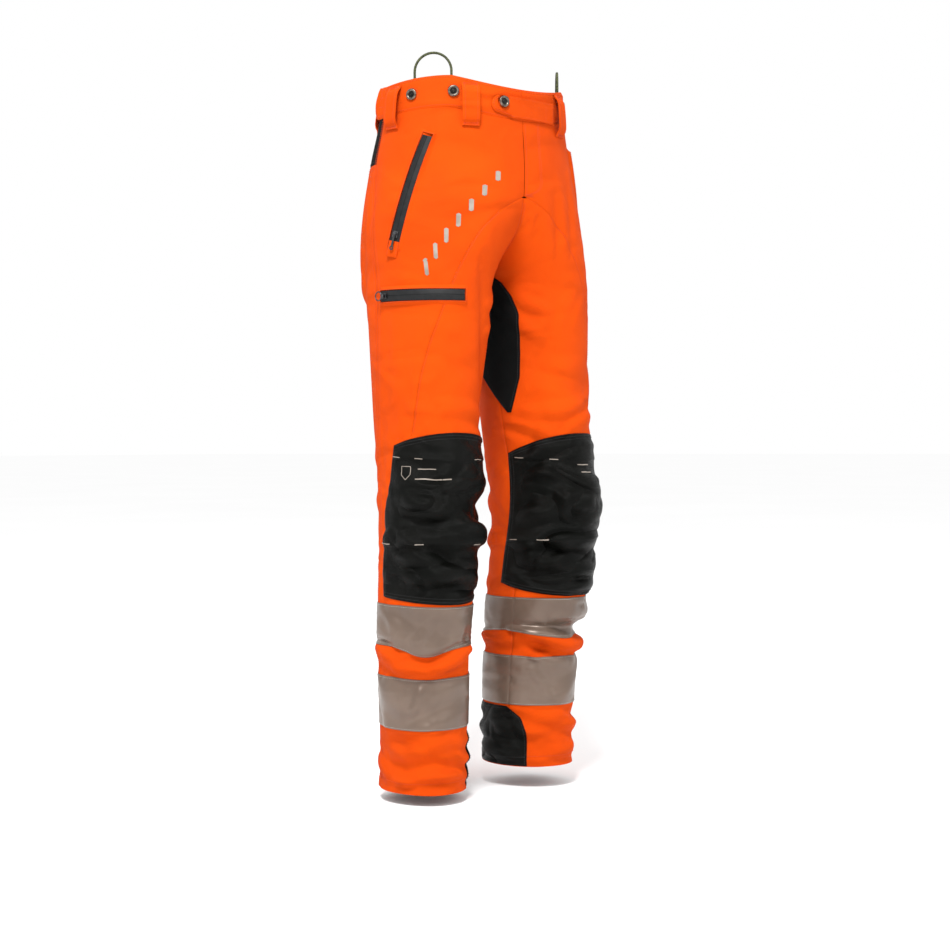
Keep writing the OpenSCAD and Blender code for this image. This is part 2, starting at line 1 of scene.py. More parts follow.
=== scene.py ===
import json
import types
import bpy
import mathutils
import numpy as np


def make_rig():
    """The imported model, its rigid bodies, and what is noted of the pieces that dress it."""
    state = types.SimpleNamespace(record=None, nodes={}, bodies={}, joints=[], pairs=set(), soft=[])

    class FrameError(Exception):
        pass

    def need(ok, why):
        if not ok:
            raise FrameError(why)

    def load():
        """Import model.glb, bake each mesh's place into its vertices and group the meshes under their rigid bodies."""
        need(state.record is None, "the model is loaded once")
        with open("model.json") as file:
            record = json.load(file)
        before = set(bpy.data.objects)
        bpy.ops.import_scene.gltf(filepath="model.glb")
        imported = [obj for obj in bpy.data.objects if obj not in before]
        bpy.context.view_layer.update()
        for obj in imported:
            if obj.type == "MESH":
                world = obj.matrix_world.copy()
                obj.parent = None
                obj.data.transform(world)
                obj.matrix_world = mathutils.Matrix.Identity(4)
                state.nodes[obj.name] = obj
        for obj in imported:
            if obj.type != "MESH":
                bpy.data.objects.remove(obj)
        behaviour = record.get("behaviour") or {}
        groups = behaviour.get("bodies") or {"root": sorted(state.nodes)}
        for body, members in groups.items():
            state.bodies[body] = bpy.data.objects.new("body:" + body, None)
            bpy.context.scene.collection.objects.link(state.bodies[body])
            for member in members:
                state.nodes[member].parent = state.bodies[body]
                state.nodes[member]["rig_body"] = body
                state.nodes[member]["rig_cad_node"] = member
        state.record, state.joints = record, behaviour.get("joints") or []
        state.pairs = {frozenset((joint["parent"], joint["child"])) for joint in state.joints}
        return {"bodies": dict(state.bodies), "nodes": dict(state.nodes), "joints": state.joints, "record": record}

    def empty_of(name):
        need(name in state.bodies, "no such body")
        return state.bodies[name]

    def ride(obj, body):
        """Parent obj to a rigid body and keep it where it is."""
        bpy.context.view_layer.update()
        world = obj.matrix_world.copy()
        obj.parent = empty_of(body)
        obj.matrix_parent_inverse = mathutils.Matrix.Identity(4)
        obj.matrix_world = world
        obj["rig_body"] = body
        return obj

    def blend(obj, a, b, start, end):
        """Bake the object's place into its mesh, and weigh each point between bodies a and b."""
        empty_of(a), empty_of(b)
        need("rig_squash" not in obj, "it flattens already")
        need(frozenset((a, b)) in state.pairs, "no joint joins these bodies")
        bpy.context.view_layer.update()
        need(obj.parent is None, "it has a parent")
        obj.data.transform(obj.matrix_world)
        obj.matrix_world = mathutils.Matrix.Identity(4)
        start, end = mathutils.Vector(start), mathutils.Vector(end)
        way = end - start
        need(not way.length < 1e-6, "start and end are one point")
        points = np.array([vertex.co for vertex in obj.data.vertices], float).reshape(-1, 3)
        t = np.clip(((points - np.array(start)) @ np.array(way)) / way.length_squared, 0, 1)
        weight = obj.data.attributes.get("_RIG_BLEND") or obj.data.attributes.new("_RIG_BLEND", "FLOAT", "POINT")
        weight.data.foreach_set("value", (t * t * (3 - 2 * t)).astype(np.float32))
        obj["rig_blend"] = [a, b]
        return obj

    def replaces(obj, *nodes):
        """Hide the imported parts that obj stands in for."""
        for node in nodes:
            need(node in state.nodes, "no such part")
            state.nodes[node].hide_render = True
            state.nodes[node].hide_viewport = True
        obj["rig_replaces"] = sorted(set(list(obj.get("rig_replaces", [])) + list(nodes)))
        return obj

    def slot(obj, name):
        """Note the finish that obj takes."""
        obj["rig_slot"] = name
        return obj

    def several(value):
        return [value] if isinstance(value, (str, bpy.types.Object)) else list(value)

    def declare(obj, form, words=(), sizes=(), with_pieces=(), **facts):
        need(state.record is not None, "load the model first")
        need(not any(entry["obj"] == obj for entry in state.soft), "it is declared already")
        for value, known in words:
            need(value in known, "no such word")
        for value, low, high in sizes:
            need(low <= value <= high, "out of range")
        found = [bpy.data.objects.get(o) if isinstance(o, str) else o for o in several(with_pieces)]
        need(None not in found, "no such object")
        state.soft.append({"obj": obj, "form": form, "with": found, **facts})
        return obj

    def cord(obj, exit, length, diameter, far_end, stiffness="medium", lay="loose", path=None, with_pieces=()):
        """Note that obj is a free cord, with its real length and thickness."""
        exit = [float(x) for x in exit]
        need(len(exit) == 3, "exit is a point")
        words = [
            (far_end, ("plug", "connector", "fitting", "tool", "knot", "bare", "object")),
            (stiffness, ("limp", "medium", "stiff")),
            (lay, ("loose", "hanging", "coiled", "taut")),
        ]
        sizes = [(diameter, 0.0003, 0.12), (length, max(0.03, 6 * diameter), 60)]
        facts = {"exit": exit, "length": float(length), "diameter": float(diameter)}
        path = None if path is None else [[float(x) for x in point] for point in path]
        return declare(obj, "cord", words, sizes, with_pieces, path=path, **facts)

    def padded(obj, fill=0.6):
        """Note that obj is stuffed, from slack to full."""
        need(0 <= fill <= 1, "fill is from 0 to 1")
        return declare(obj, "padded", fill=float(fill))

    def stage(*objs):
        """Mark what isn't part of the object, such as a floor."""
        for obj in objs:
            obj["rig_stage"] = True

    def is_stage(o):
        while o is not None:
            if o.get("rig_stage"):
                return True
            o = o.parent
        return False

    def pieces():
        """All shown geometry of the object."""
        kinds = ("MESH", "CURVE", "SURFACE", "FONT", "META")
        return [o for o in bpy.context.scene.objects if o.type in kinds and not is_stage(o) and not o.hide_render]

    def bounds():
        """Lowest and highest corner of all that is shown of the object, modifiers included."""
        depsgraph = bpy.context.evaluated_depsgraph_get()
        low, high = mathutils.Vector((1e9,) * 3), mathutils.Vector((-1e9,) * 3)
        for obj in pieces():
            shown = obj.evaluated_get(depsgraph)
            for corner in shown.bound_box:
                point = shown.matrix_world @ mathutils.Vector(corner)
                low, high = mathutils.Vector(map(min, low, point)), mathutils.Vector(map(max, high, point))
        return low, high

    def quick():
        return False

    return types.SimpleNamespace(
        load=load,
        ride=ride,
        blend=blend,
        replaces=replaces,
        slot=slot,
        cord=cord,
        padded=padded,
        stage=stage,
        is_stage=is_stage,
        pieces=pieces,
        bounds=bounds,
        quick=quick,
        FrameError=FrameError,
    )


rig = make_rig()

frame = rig.load()

import json
import math

import bmesh
import bpy
import numpy as np
from mathutils import Vector, geometry

CAD_BOX = [[float(x) for x in corner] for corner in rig.bounds()]
MM = 0.001
RIGHT, LEFT = -1, 1
NAME = {RIGHT: "right", LEFT: "left"}

# ---- camera -------------------------------------------------------------------------------------
AZIMUTH = math.radians(40)
DISTANCE = 2.9
EYE = -0.535
cam_data = bpy.data.cameras.new("camera")
cam_data.sensor_width = 36
cam_data.lens = 70.41
cam_data.shift_x, cam_data.shift_y = -0.0032, -0.0442
cam_data.clip_end = 50
camera = bpy.data.objects.new("camera", cam_data)
bpy.context.scene.collection.objects.link(camera)
camera.location = (-DISTANCE * math.sin(AZIMUTH), -DISTANCE * math.cos(AZIMUTH), EYE)
camera.rotation_euler = (math.pi / 2, 0, -AZIMUTH)
bpy.context.scene.camera = camera

# ---- shape of the garment: the same levels as the CAD model, in millimetres ---------------------
# depth, leg centre, half width, centre in Y, depth to front, depth to back, toe-out, left forward
LEVELS = np.array([
    [0, 0, 156, 10, 114, 112, 0, 0], [50, 0, 160, 12, 118, 118, 0, 0],
    [130, 16, 157, 13, 124, 134, 0, 0], [200, 50, 134, 12, 126, 138, 0, 0],
    [280, 94, 94, 8, 120, 124, 0, 0], [350, 100, 86, 4, 112, 110, 2, 2],
    [450, 103, 80, 0, 98, 98, 6, 8], [550, 104, 77, -4, 90, 90, 10, 16],
    [650, 105, 75, -8, 94, 86, 14, 24], [750, 106, 73, -4, 88, 82, 17, 18],
    [850, 106, 70, 0, 78, 80, 20, 8], [960, 106, 66, 0, 73, 77, 20, 0],
    [1070, 106, 64, 0, 72, 76, 20, 0]], float)
HEM = 1070.0
BAND_H = 48.0
CROTCH = 280
YOKE_END = 126
FLY_END = 178
# angle and depth of both ends of a hip zip, depth of the thigh zip
HIP_TOP, HIP_BOTTOM = (148, 94), (163, 248)
THIGH_D = 331
# depth of the buttons, angles of the brace buttons and of the button under the tab
BUTTON_D = 24
BRACE_F = (134, 162)
CLOSURE_F = 104
HALF_SEAM = 0.12  # degrees between a panel's edge and the middle of the seam


def level(d, k):
    """Column k of LEVELS at a depth, along a smooth curve."""
    depth, value = LEVELS[:, 0], LEVELS[:, k]
    slope = np.zeros(len(depth))
    slope[1:-1] = (value[2:] - value[:-2]) / (depth[2:] - depth[:-2])
    d = np.asarray(d, float)
    i = np.clip(np.searchsorted(depth, d, side="right") - 1, 0, len(depth) - 2)
    h = depth[i + 1] - depth[i]
    t = np.clip((d - depth[i]) / h, 0, 1)
    t2, t3 = t * t, t ** 3
    return ((2 * t3 - 3 * t2 + 1) * value[i] + (t3 - 2 * t2 + t) * h * slope[i]
            + (3 * t2 - 2 * t3) * value[i + 1] + (t3 - t2) * h * slope[i + 1])


def ease(t):
    c = np.clip(t, 0, 1)
    return c * c * (3 - 2 * c)


def mix(a, b, t):
    return a + (b - a) * t


def waist_rise(d, f):
    """The top of the waist is low at the front and high at the back."""
    q = np.asarray(f, float) - 90
    rise = np.where(q < 45, -14 * np.maximum(0, np.cos(np.radians(2 * q))),
                    np.where(q < 100, -8 * ease((q - 45) / 55), mix(-8, 14, ease((q - 100) / 80))))
    return rise * (1 - ease((np.asarray(d, float) - 60) / 80))


def gather(d):
    """How far the bunched shin lifts the left hem, in millimetres."""
    return 18 * ease((d - 770) / 130)


def form(side, f, d, o=0.0):
    """Point of the plain garment, before any fold."""
    side, f, d, o = np.broadcast_arrays(*(np.asarray(x, float) for x in (side, f, d, o)))
    r = np.radians(f)
    a = level(d, 2)
    b = np.where(np.sin(r) > 0, level(d, 4), level(d, 5))
    toe = np.radians(level(d, 6))
    nx, ny = np.cos(r) / a, -np.sin(r) / b
    n = np.hypot(nx, ny)
    x = a * np.cos(r) + o * nx / n
    y = -b * np.sin(r) + o * ny / n
    px = x * np.cos(toe) + y * np.sin(toe) - level(d, 1)
    py = -x * np.sin(toe) + y * np.cos(toe) + level(d, 3) - np.where(side > 0, level(d, 7), 0)
    up = np.where(side > 0, gather(d), 0)
    return np.stack([-side * px, py, -d + up + waist_rise(d, f)], -1)


def middle(d, gap=0.0):
    """Angle at which one half of the seat meets the other; 0 below the crotch."""
    c, a = level(d, 1) - gap, level(d, 2)
    return np.where(a > c, np.degrees(np.arccos(np.clip(c / a, -1, 1))), 0.0)


def unit(v):
    v = np.asarray(v, float)
    return v / np.linalg.norm(v, axis=-1, keepdims=True)


def path(d, pts):
    """Angle of a line on the garment, given as (depth, angle) pairs, at a depth."""
    return np.interp(d, [p[0] for p in pts], [p[1] for p in pts])


def fixed(angle):
    """A line straight down the garment."""
    return lambda d: d * 0 + angle


def beside(seam, gap):
    """A line some degrees away from another."""
    return lambda d: seam(d) + gap


def bump(x, centre, reach):
    """A smooth hill of height 1 at the centre."""
    return np.exp(-((x - centre) / reach) ** 2)


def grid_faces(ids):
    """Faces of a grid of vertex numbers."""
    return np.stack([ids[:-1, :-1], ids[1:, :-1], ids[1:, 1:], ids[:-1, 1:]], -1).reshape(-1, 4)


def tube_faces(ids):
    """Faces of a grid whose last column joins its first."""
    after = np.roll(ids, -1, axis=1)
    return np.stack([ids[:-1], after[:-1], after[1:], ids[1:]], -1).reshape(-1, 4)


def slab_faces(ids, count):
    """Faces of a closed sheet: a grid, the same grid with numbers higher by count, and the rim."""
    low = ids + count
    under = np.stack([low[:-1, :-1], low[:-1, 1:], low[1:, 1:], low[1:, :-1]], -1).reshape(-1, 4)
    ring = np.concatenate([ids[:, 0], ids[-1, 1:], ids[-2::-1, -1], ids[0, -2:0:-1]])
    after = np.roll(ring, -1)
    rim = np.stack([after, ring, ring + count, after + count], -1)
    return np.concatenate([grid_faces(ids), under, rim])


FRONT_SEAM = [(FLY_END, 76), (200, 90), (230, 99), (280, 106), (340, 118), (400, 128), (450, 134),
              (550, 141)]
SIDE_SEAM = [(0, 192), (YOKE_END, 192), (250, 187), (330, 184), (550, 190), (1070, 192)]


def start_angle(d):
    """First angle of the cloth: the middle of the front, then the inseam."""
    return np.maximum(middle(d, 0.08 - 0.3 * bump(d, 270, 10)), 0.2)


def end_angle(d):
    return 360 - start_angle(d)


def back_middle(d):
    return 360 - middle(d)


def front_seam(d):
    d = np.asarray(d, float)
    return np.where(d <= FLY_END, middle(d, 0.3), np.maximum(path(d, FRONT_SEAM), start_angle(d)))


def side_seam(d):
    return path(d, SIDE_SEAM)


# ---- folds --------------------------------------------------------------------------------------
AROUND_MM = 1.45  # millimetres for one degree round a leg, about
rng = np.random.default_rng(11)


def fold_frame(f, d, f0, d0, f1, d1, width, bow):
    """Distance across a fold in widths, and how far the fold has faded towards its ends."""
    x, y = np.asarray(f) * AROUND_MM, np.asarray(d)
    ax, ay, bx, by = f0 * AROUND_MM, d0, f1 * AROUND_MM, d1
    ux, uy = bx - ax, by - ay
    length = math.hypot(ux, uy)
    ux, uy = ux / length, uy / length
    along = ((x - ax) * ux + (y - ay) * uy) / length
    across = -(x - ax) * uy + (y - ay) * ux - bow * 4 * along * (1 - along)
    taper = np.clip(1 - (2 * along - 1) ** 2, 0, 1) ** 0.8
    return across / (width * (0.6 + 0.4 * taper)), taper


def ridge(f, d, f0, d0, f1, d1, height, width, bow=0.0):
    """A fold from one point to another: a crest with a shallow valley on each side."""
    t, taper = fold_frame(f, d, f0, d0, f1, d1, width, bow)
    return height * taper * (bump(t, 0, 1) - 0.42 * bump(t, 1.7, 1) - 0.42 * bump(t, -1.7, 1))


# angle, depth of both ends; height, width, bow (mm)
FOLDS = {
    RIGHT: [
        (150, 604, 60, 596, 4.0, 13, -7), (162, 652, 98, 668, -7.0, 12, -9),
        (150, 630, 40, 642, 7.5, 15, -8), (100, 668, 20, 690, 7.0, 13, 6),
        (160, 716, 84, 738, 5.5, 11, 5), (150, 752, 60, 726, 6.0, 11, -5),
        (120, 700, 30, 716, -4.0, 11, 4), (80, 752, 0, 764, 2.5, 10, 4),
        (190, 700, 120, 688, 4.0, 10, 5), (30, 870, 165, 886, 7.0, 9, 7),
        (60, 862, 130, 876, -3.0, 9, 4), (140, 884, 210, 872, 6.0, 9, -5),
        (0, 1022, 100, 1008, 6.0, 10, 7), (40, 1040, 150, 1052, 5.0, 9, -5),
        (80, 996, 170, 1006, 4.0, 9, 4), (150, 1036, 215, 1022, 5.0, 10, 5),
        (30, 512, 150, 500, 3.0, 11, -8), (20, 540, 90, 528, 2.6, 9, 4),
        (10, 640, 120, 632, -5.5, 13, 5), (0, 700, 110, 676, 4.5, 12, -6),
        (60, 742, 165, 730, 3.2, 11, 6), (20, 772, 90, 760, -3.0, 9, -4),
        (95, 884, 190, 868, 5.0, 10, 8), (15, 872, 110, 888, 4.6, 10, -8),
        (100, 800, 128, 858, 2.0, 8, 3), (112, 905, 130, 962, 1.8, 7, 2),
        (10, 1000, 120, 985, 3.0, 10, 6), (90, 1012, 190, 1022, 4.0, 10, -6),
        (5, 1046, 110, 1036, 3.6, 9, 5), (120, 1050, 200, 1042, 2.6, 8, 4),
        (200, 560, 300, 590, 3.0, 13, 9), (190, 640, 330, 652, 5.0, 14, -9),
        (210, 700, 340, 690, 4.6, 13, 8), (200, 760, 320, 775, 3.4, 12, -6),
        (210, 880, 330, 866, 4.4, 11, 7), (200, 1005, 340, 1018, 3.8, 11, 6),
        (205, 1048, 320, 1040, 3.0, 9, -5),
        (215, 300, 300, 340, 3.2, 15, 9), (225, 350, 310, 385, 2.6, 14, 8),
        (18, 300, 70, 350, 3.0, 10, 6), (15, 330, 60, 395, 2.4, 10, 5),
        (-10, 642, 116, 648, -13.0, 17, -4), (0, 690, 116, 682, 8.0, 19, 4),
        (10, 726, 110, 730, 3.0, 16, 5),
    ],
    LEFT: [
        (10, 588, 120, 604, 5.0, 13, 6), (0, 668, 90, 640, 6.5, 14, -8),
        (60, 640, 150, 622, -5.0, 12, 5), (20, 708, 120, 722, -6.5, 11, 6),
        (0, 730, 100, 748, 6.5, 12, -5), (70, 690, 140, 700, 5.0, 10, 4),
        (10, 866, 130, 874, 9.0, 11, 6), (-30, 884, 60, 876, -6.0, 9, 4),
        (60, 852, 150, 860, -5.0, 9, -4), (-30, 1012, 70, 1026, 5.5, 10, -6),
        (40, 1046, 140, 1040, 5.0, 9, 5), (70, 1010, 150, 1020, 5.5, 10, -5),
        (-60, 1040, 20, 1052, 4.0, 9, 4),
        (20, 500, 110, 478, 3.6, 11, 8), (60, 538, 140, 505, 3.4, 10, -7),
        (0, 620, 100, 650, 3.6, 13, -6), (20, 690, 110, 700, 4.4, 12, 7),
        (10, 745, 130, 735, -4.0, 12, -6), (60, 772, 140, 765, 3.0, 9, 4),
        (-10, 862, 110, 845, 6.5, 11, 9), (10, 885, 120, 872, -5.0, 10, 5),
        (-20, 880, 40, 900, 4.0, 9, -6), (20, 905, 60, 962, 1.8, 7, 2),
        (0, 996, 120, 1008, 3.4, 10, -6), (30, 1035, 130, 1024, 4.2, 10, 7),
        (0, 1055, 90, 1050, 2.6, 8, 3), (100, 880, 195, 868, 4.4, 10, 6),
        (110, 1012, 200, 1000, 3.4, 10, -5),
        (200, 560, 300, 588, 3.0, 13, 9), (190, 645, 330, 650, 5.0, 14, -9),
        (210, 702, 340, 690, 4.6, 13, 8), (200, 762, 320, 772, 3.4, 12, -6),
        (210, 878, 330, 864, 4.8, 11, 7), (200, 1003, 340, 1018, 3.8, 11, 6),
        (215, 300, 300, 340, 3.2, 15, 9), (225, 350, 310, 385, 2.6, 14, 8),
        (18, 300, 70, 350, 3.4, 10, 6), (15, 330, 60, 395, 2.6, 10, 5),
        (150, 420, 110, 500, 2.2, 12, 7),
        (40, 848, 180, 846, -14.0, 15, 3), (30, 876, 150, 876, 9.0, 10, 4),
        (40, 622, 150, 634, 8.0, 24, 5), (50, 702, 150, 712, -9.0, 15, -4),
    ],
}


def random_folds():
    """Small creases of one leg."""
    # depth range, how many, height, length in degrees, slope in mm
    zones = [(130, 280, 16, 0.7, 40, 30), (280, 520, 26, 1.0, 50, 40), (540, 790, 34, 1.5, 60, 24),
             (850, 905, 16, 2.0, 60, 16), (975, 1066, 26, 1.7, 55, 14), (790, 975, 22, 0.8, 40, 30)]
    out = []
    for top, low, count, height, span, slope in zones:
        for _ in range(count):
            f, d = rng.uniform(0, 360), rng.uniform(top, low)
            half = span * rng.uniform(0.4, 1) / 2
            tilt = rng.normal(0, slope) / 2
            out.append((f - half, d - tilt, f + half, d + tilt,
                        height * rng.uniform(0.4, 1.2) * rng.choice([-1, 1]), rng.uniform(4, 9),
                        rng.normal(0, 6)))
    return out


SMALL_FOLDS = {side: random_folds() for side in (RIGHT, LEFT)}


def met(folds, f):
    """Each fold with the angles it is measured from, also where it crosses angle 0."""
    for fold in folds:
        first, last = min(fold[0], fold[2]), max(fold[0], fold[2])
        for turn in (-360, 0, 360):
            if last + turn >= -20 and first + turn <= 380:
                yield fold, f - turn


def relief(side, f, d):
    """How far the cloth stands off the plain garment, in millimetres."""
    f, d = np.asarray(f, float), np.asarray(d, float)
    out = np.zeros(np.broadcast(f, d).shape)
    for fold, away in met(FOLDS[side] + SMALL_FOLDS[side], f):
        out += ridge(away, d, *fold)
    r = np.radians(f)
    out += 0.8 * np.sin(3 * r + d / 60 + side) * np.sin(d / 47 + 1.3 * side)
    out *= ease((d - 70) / 90)
    return out


def crumple(side, f, d):
    """Sharp lines where the cloth is nipped beside each large fold."""
    out = np.zeros(np.broadcast(f, d).shape)
    for fold, away in met(FOLDS[side], f):
        t, taper = fold_frame(away, d, *fold[:4], *fold[5:])
        out -= 0.28 * abs(fold[4]) * taper * (np.exp(-np.abs(t - 1.5) * 2.5)
                                              + np.exp(-np.abs(t + 1.5) * 2.5))
    return out * ease((d - 70) / 90)


def droop(side, f, d):
    """How far the cloth has slipped down, or up where it bunches below the knee, in millimetres."""
    f = np.mod(np.asarray(f, float) + 180, 360) - 180
    if side == RIGHT:
        return -14 * (1 - bump(np.abs(f), 108, 32)) * bump(d, 865, 24)
    return -12 * bump(f, -10, 50) * bump(d, 862, 24) + 3 * bump(f, 75, 20) * bump(d, 866, 16)


# ---- the garment as one welded net, settled as cloth --------------------------------------------
NET_COLS = 73
NET_ROWS = np.concatenate([np.linspace(0, CROTCH, 32), np.linspace(CROTCH, HEM, 88)[1:]])


def net_angles(depths, cols):
    m = middle(depths)[:, None]
    return m + np.linspace(0, 1, cols)[None, :] * (360 - 2 * m)


def hold(side, f, d):
    """1 where the cloth is sewn flat to a zip, a tab or a print, 0 where it is free."""
    t = (d - HIP_TOP[1]) / (HIP_BOTTOM[1] - HIP_TOP[1])
    aside = np.abs(f - mix(HIP_TOP[0], HIP_BOTTOM[0], np.clip(t, -0.2, 1.2)))
    out = np.exp(-((aside * 2.6) / 19) ** 4) * ease((d - 50) / 20) * ease((292 - d) / 20)
    if side == RIGHT:
        out = np.maximum(out, np.exp(-((d - THIGH_D) / 17) ** 4) * ease((f - 84) / 10)
                         * ease((206 - f) / 10))
        out = np.maximum(out, 0.7 * ease((f - 84) / 10) * ease((150 - f) / 10)
                         * ease((d - 120) / 30) * ease((320 - d) / 30))
    gap = np.minimum(np.abs(f - middle(d)), 60)
    out = np.maximum(out, np.exp(-(gap / 14) ** 2) * ease((215 - d) / 25))
    return np.maximum(out, 1 - ease((d - 66) / 70))


SLACK = 2.6
# depth, and share of extra length of the cloth there before it is multiplied by SLACK
SPARE = [(0, 0), (120, 0.004), (250, 0.018), (420, 0.03), (520, 0.04), (600, 0.045), (780, 0.045),
         (800, 0.03), (860, 0.045), (882, 0.08), (900, 0.035), (970, 0.03), (990, 0.06), (1060, 0.05),
         (1070, 0.02)]


def settle(seed_share=1.15, frames=24):
    """Displacement of every net point after the cloth, a little too long, has buckled."""
    f = {s: net_angles(NET_ROWS, NET_COLS) for s in (RIGHT, LEFT)}
    d = np.broadcast_to(NET_ROWS[:, None], f[RIGHT].shape)
    plain = {s: form(s, f[s], d) for s in f}
    start, rest = {}, {}
    length = SLACK * np.interp(NET_ROWS, *zip(*SPARE))
    longer = np.concatenate([[0], np.cumsum(np.diff(NET_ROWS) * (length[1:] + length[:-1]) / 2)])
    for s in f:
        n = net_normals(s, plain[s], NET_ROWS)
        start[s] = plain[s] + n * (seed_share * relief(s, f[s], d))[..., None]
        rest[s] = plain[s].copy()
        rest[s][..., 2] -= longer[:, None]
        if s == LEFT:
            rest[s][..., 2] -= gather(NET_ROWS)[:, None]
    nr = len(NET_ROWS)
    ids = {s: np.arange(nr * NET_COLS).reshape(nr, NET_COLS) + (0 if s == RIGHT else nr * NET_COLS)
           for s in f}
    twin = np.arange(2 * nr * NET_COLS)
    for r, depth in enumerate(NET_ROWS):
        if depth < CROTCH - 0.01:
            twin[ids[LEFT][r, 0]] = ids[RIGHT][r, 0]
            twin[ids[LEFT][r, -1]] = ids[RIGHT][r, -1]
        elif depth < CROTCH + 0.01:
            for s in f:
                twin[ids[s][r, 0]] = twin[ids[s][r, -1]] = ids[RIGHT][r, 0]
        else:
            for s in f:
                twin[ids[s][r, -1]] = ids[s][r, 0]
    used, compact = np.unique(twin, return_inverse=True)
    faces = []
    for s in f:
        q = compact[ids[s]]
        quad = grid_faces(q)
        faces.append(quad if s == RIGHT else quad[:, ::-1])
    faces = [list(dict.fromkeys(map(int, q))) for q in np.concatenate(faces)]
    faces = [q for q in faces if len(q) > 2]
    begin = np.concatenate([start[s].reshape(-1, 3) for s in (RIGHT, LEFT)])[used] * MM
    slack = np.concatenate([rest[s].reshape(-1, 3) for s in (RIGHT, LEFT)])[used] * MM
    held = np.concatenate([hold(s, f[s], d).ravel() for s in (RIGHT, LEFT)])[used]
    mesh = bpy.data.meshes.new("net")
    mesh.from_pydata(begin.tolist(), [], faces)
    net = bpy.data.objects.new("net", mesh)
    bpy.context.scene.collection.objects.link(net)
    net.shape_key_add(name="Basis")
    key = net.shape_key_add(name="rest")
    key.data.foreach_set("co", slack.ravel())
    group = net.vertex_groups.new(name="held")
    weight = np.clip(0.15 + 0.85 * held, 0, 1)
    weight[held > 0.97] = 1
    for step in range(21):
        chosen = np.flatnonzero(np.round(weight * 20).astype(int) == step)
        if len(chosen):
            group.add(chosen.tolist(), step / 20, "REPLACE")
    mod = net.modifiers.new("cloth", "CLOTH")
    fabric = mod.settings
    fabric.quality = 6
    fabric.mass = 0.4
    fabric.tension_stiffness = fabric.compression_stiffness = 30
    fabric.shear_stiffness = 12
    fabric.bending_stiffness = 1.6
    fabric.tension_damping = fabric.compression_damping = fabric.shear_damping = 20
    fabric.bending_damping = 1.0
    fabric.air_damping = 4
    fabric.vertex_group_mass = "held"
    fabric.pin_stiffness = 1.0
    fabric.rest_shape_key = key
    fabric.effector_weights.gravity = 0.15
    mod.collision_settings.use_collision = False
    mod.collision_settings.use_self_collision = False
    mod.point_cache.frame_start, mod.point_cache.frame_end = 1, frames
    scene = bpy.context.scene
    for frame_number in range(1, frames + 1):
        scene.frame_set(frame_number)
    done = net.evaluated_get(bpy.context.evaluated_depsgraph_get())
    after = np.zeros(len(used) * 3)
    done.to_mesh().vertices.foreach_get("co", after)
    done.to_mesh_clear()
    scene.frame_set(1)
    bpy.data.objects.remove(net)
    after = after.reshape(-1, 3) / MM
    out = {}
    for s in f:
        out[s] = after[compact[ids[s]]] - plain[s]
    return out


# ---- the folded garment as a fine grid that every piece is looked up on -------------------------
COLS, ROW_MM = 241, 3.0
DEPTHS = np.linspace(0, HEM, int(HEM / ROW_MM) + 1)


def net_normals(side, grid, depths):
    """Outward normals of a grid, level with each other across the middle and the inseam."""
    across = np.gradient(grid, axis=1)
    below = depths >= CROTCH
    wrap = (grid[:, 1] - grid[:, -2]) / 2
    across[below, 0] = wrap[below]
    across[below, -1] = wrap[below]
    above = ~below
    for col, other in ((0, 1), (-1, -2)):
        step = grid[above, other] - grid[above, col]
        step[:, 1:] = 0
        across[above, col] = step * (1 if col == 0 else -1)
    down = np.gradient(grid, axis=0)
    n = np.cross(down, across)
    n = n / np.maximum(np.linalg.norm(n, axis=-1, keepdims=True), 1e-9)
    return n * (-1 if side == RIGHT else 1)


def finer(field, depths, cols, new_depths, new_cols):
    """Smooth interpolation of a grid of vectors onto a finer one."""
    def weights(x, xs):
        i = np.clip(np.searchsorted(xs, x, side="right") - 1, 0, len(xs) - 2)
        t = (x - xs[i]) / (xs[i + 1] - xs[i])
        rows = np.arange(len(x))
        w = np.zeros((len(x), len(xs)))
        for k, c in ((-1, -0.5 * t + t * t - 0.5 * t ** 3), (0, 1 - 2.5 * t * t + 1.5 * t ** 3),
                     (1, 0.5 * t + 2 * t * t - 1.5 * t ** 3), (2, -0.5 * t * t + 0.5 * t ** 3)):
            np.add.at(w, (rows, np.clip(i + k, 0, len(xs) - 1)), c)
        return w
    a = weights(new_depths, depths)
    b = weights(np.linspace(0, 1, new_cols), np.linspace(0, 1, cols))
    return np.einsum("ri,ijk,cj->rck", a, field, b, optimize=True)


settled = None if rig.quick() else settle()
ANGLES = net_angles(DEPTHS, COLS)
GRID, NORMAL, ARC, OUT, PLAIN, PLAIN_NORMAL, INSIDE = {}, {}, {}, {}, {}, {}, {}
for side in (RIGHT, LEFT):
    base = form(side, ANGLES, DEPTHS[:, None] + droop(side, ANGLES, DEPTHS[:, None]))
    n = net_normals(side, base, DEPTHS)
    if settled is None:
        move = n * relief(side, ANGLES, DEPTHS[:, None])[..., None]
    else:
        move = finer(settled[side], NET_ROWS, NET_COLS, DEPTHS, COLS)
    out = np.sum(move * n, -1, keepdims=True)
    slide = move - n * out
    size = np.linalg.norm(slide, axis=-1, keepdims=True)
    slide = slide * np.minimum(1, 6 / np.maximum(size, 1e-6))
    out = out + crumple(side, ANGLES, DEPTHS[:, None])[..., None]
    out = np.where(out > 0, 10 * np.tanh(out / 10), 16 * np.tanh(out / 16))
    free = 1 - hold(side, ANGLES, DEPTHS[:, None])[..., None]
    GRID[side] = base + (slide + n * out) * free
    PLAIN[side], PLAIN_NORMAL[side], OUT[side] = base, n, (out * free)[..., 0]
REACH = 10  # columns over which both halves are led to the middle above the crotch
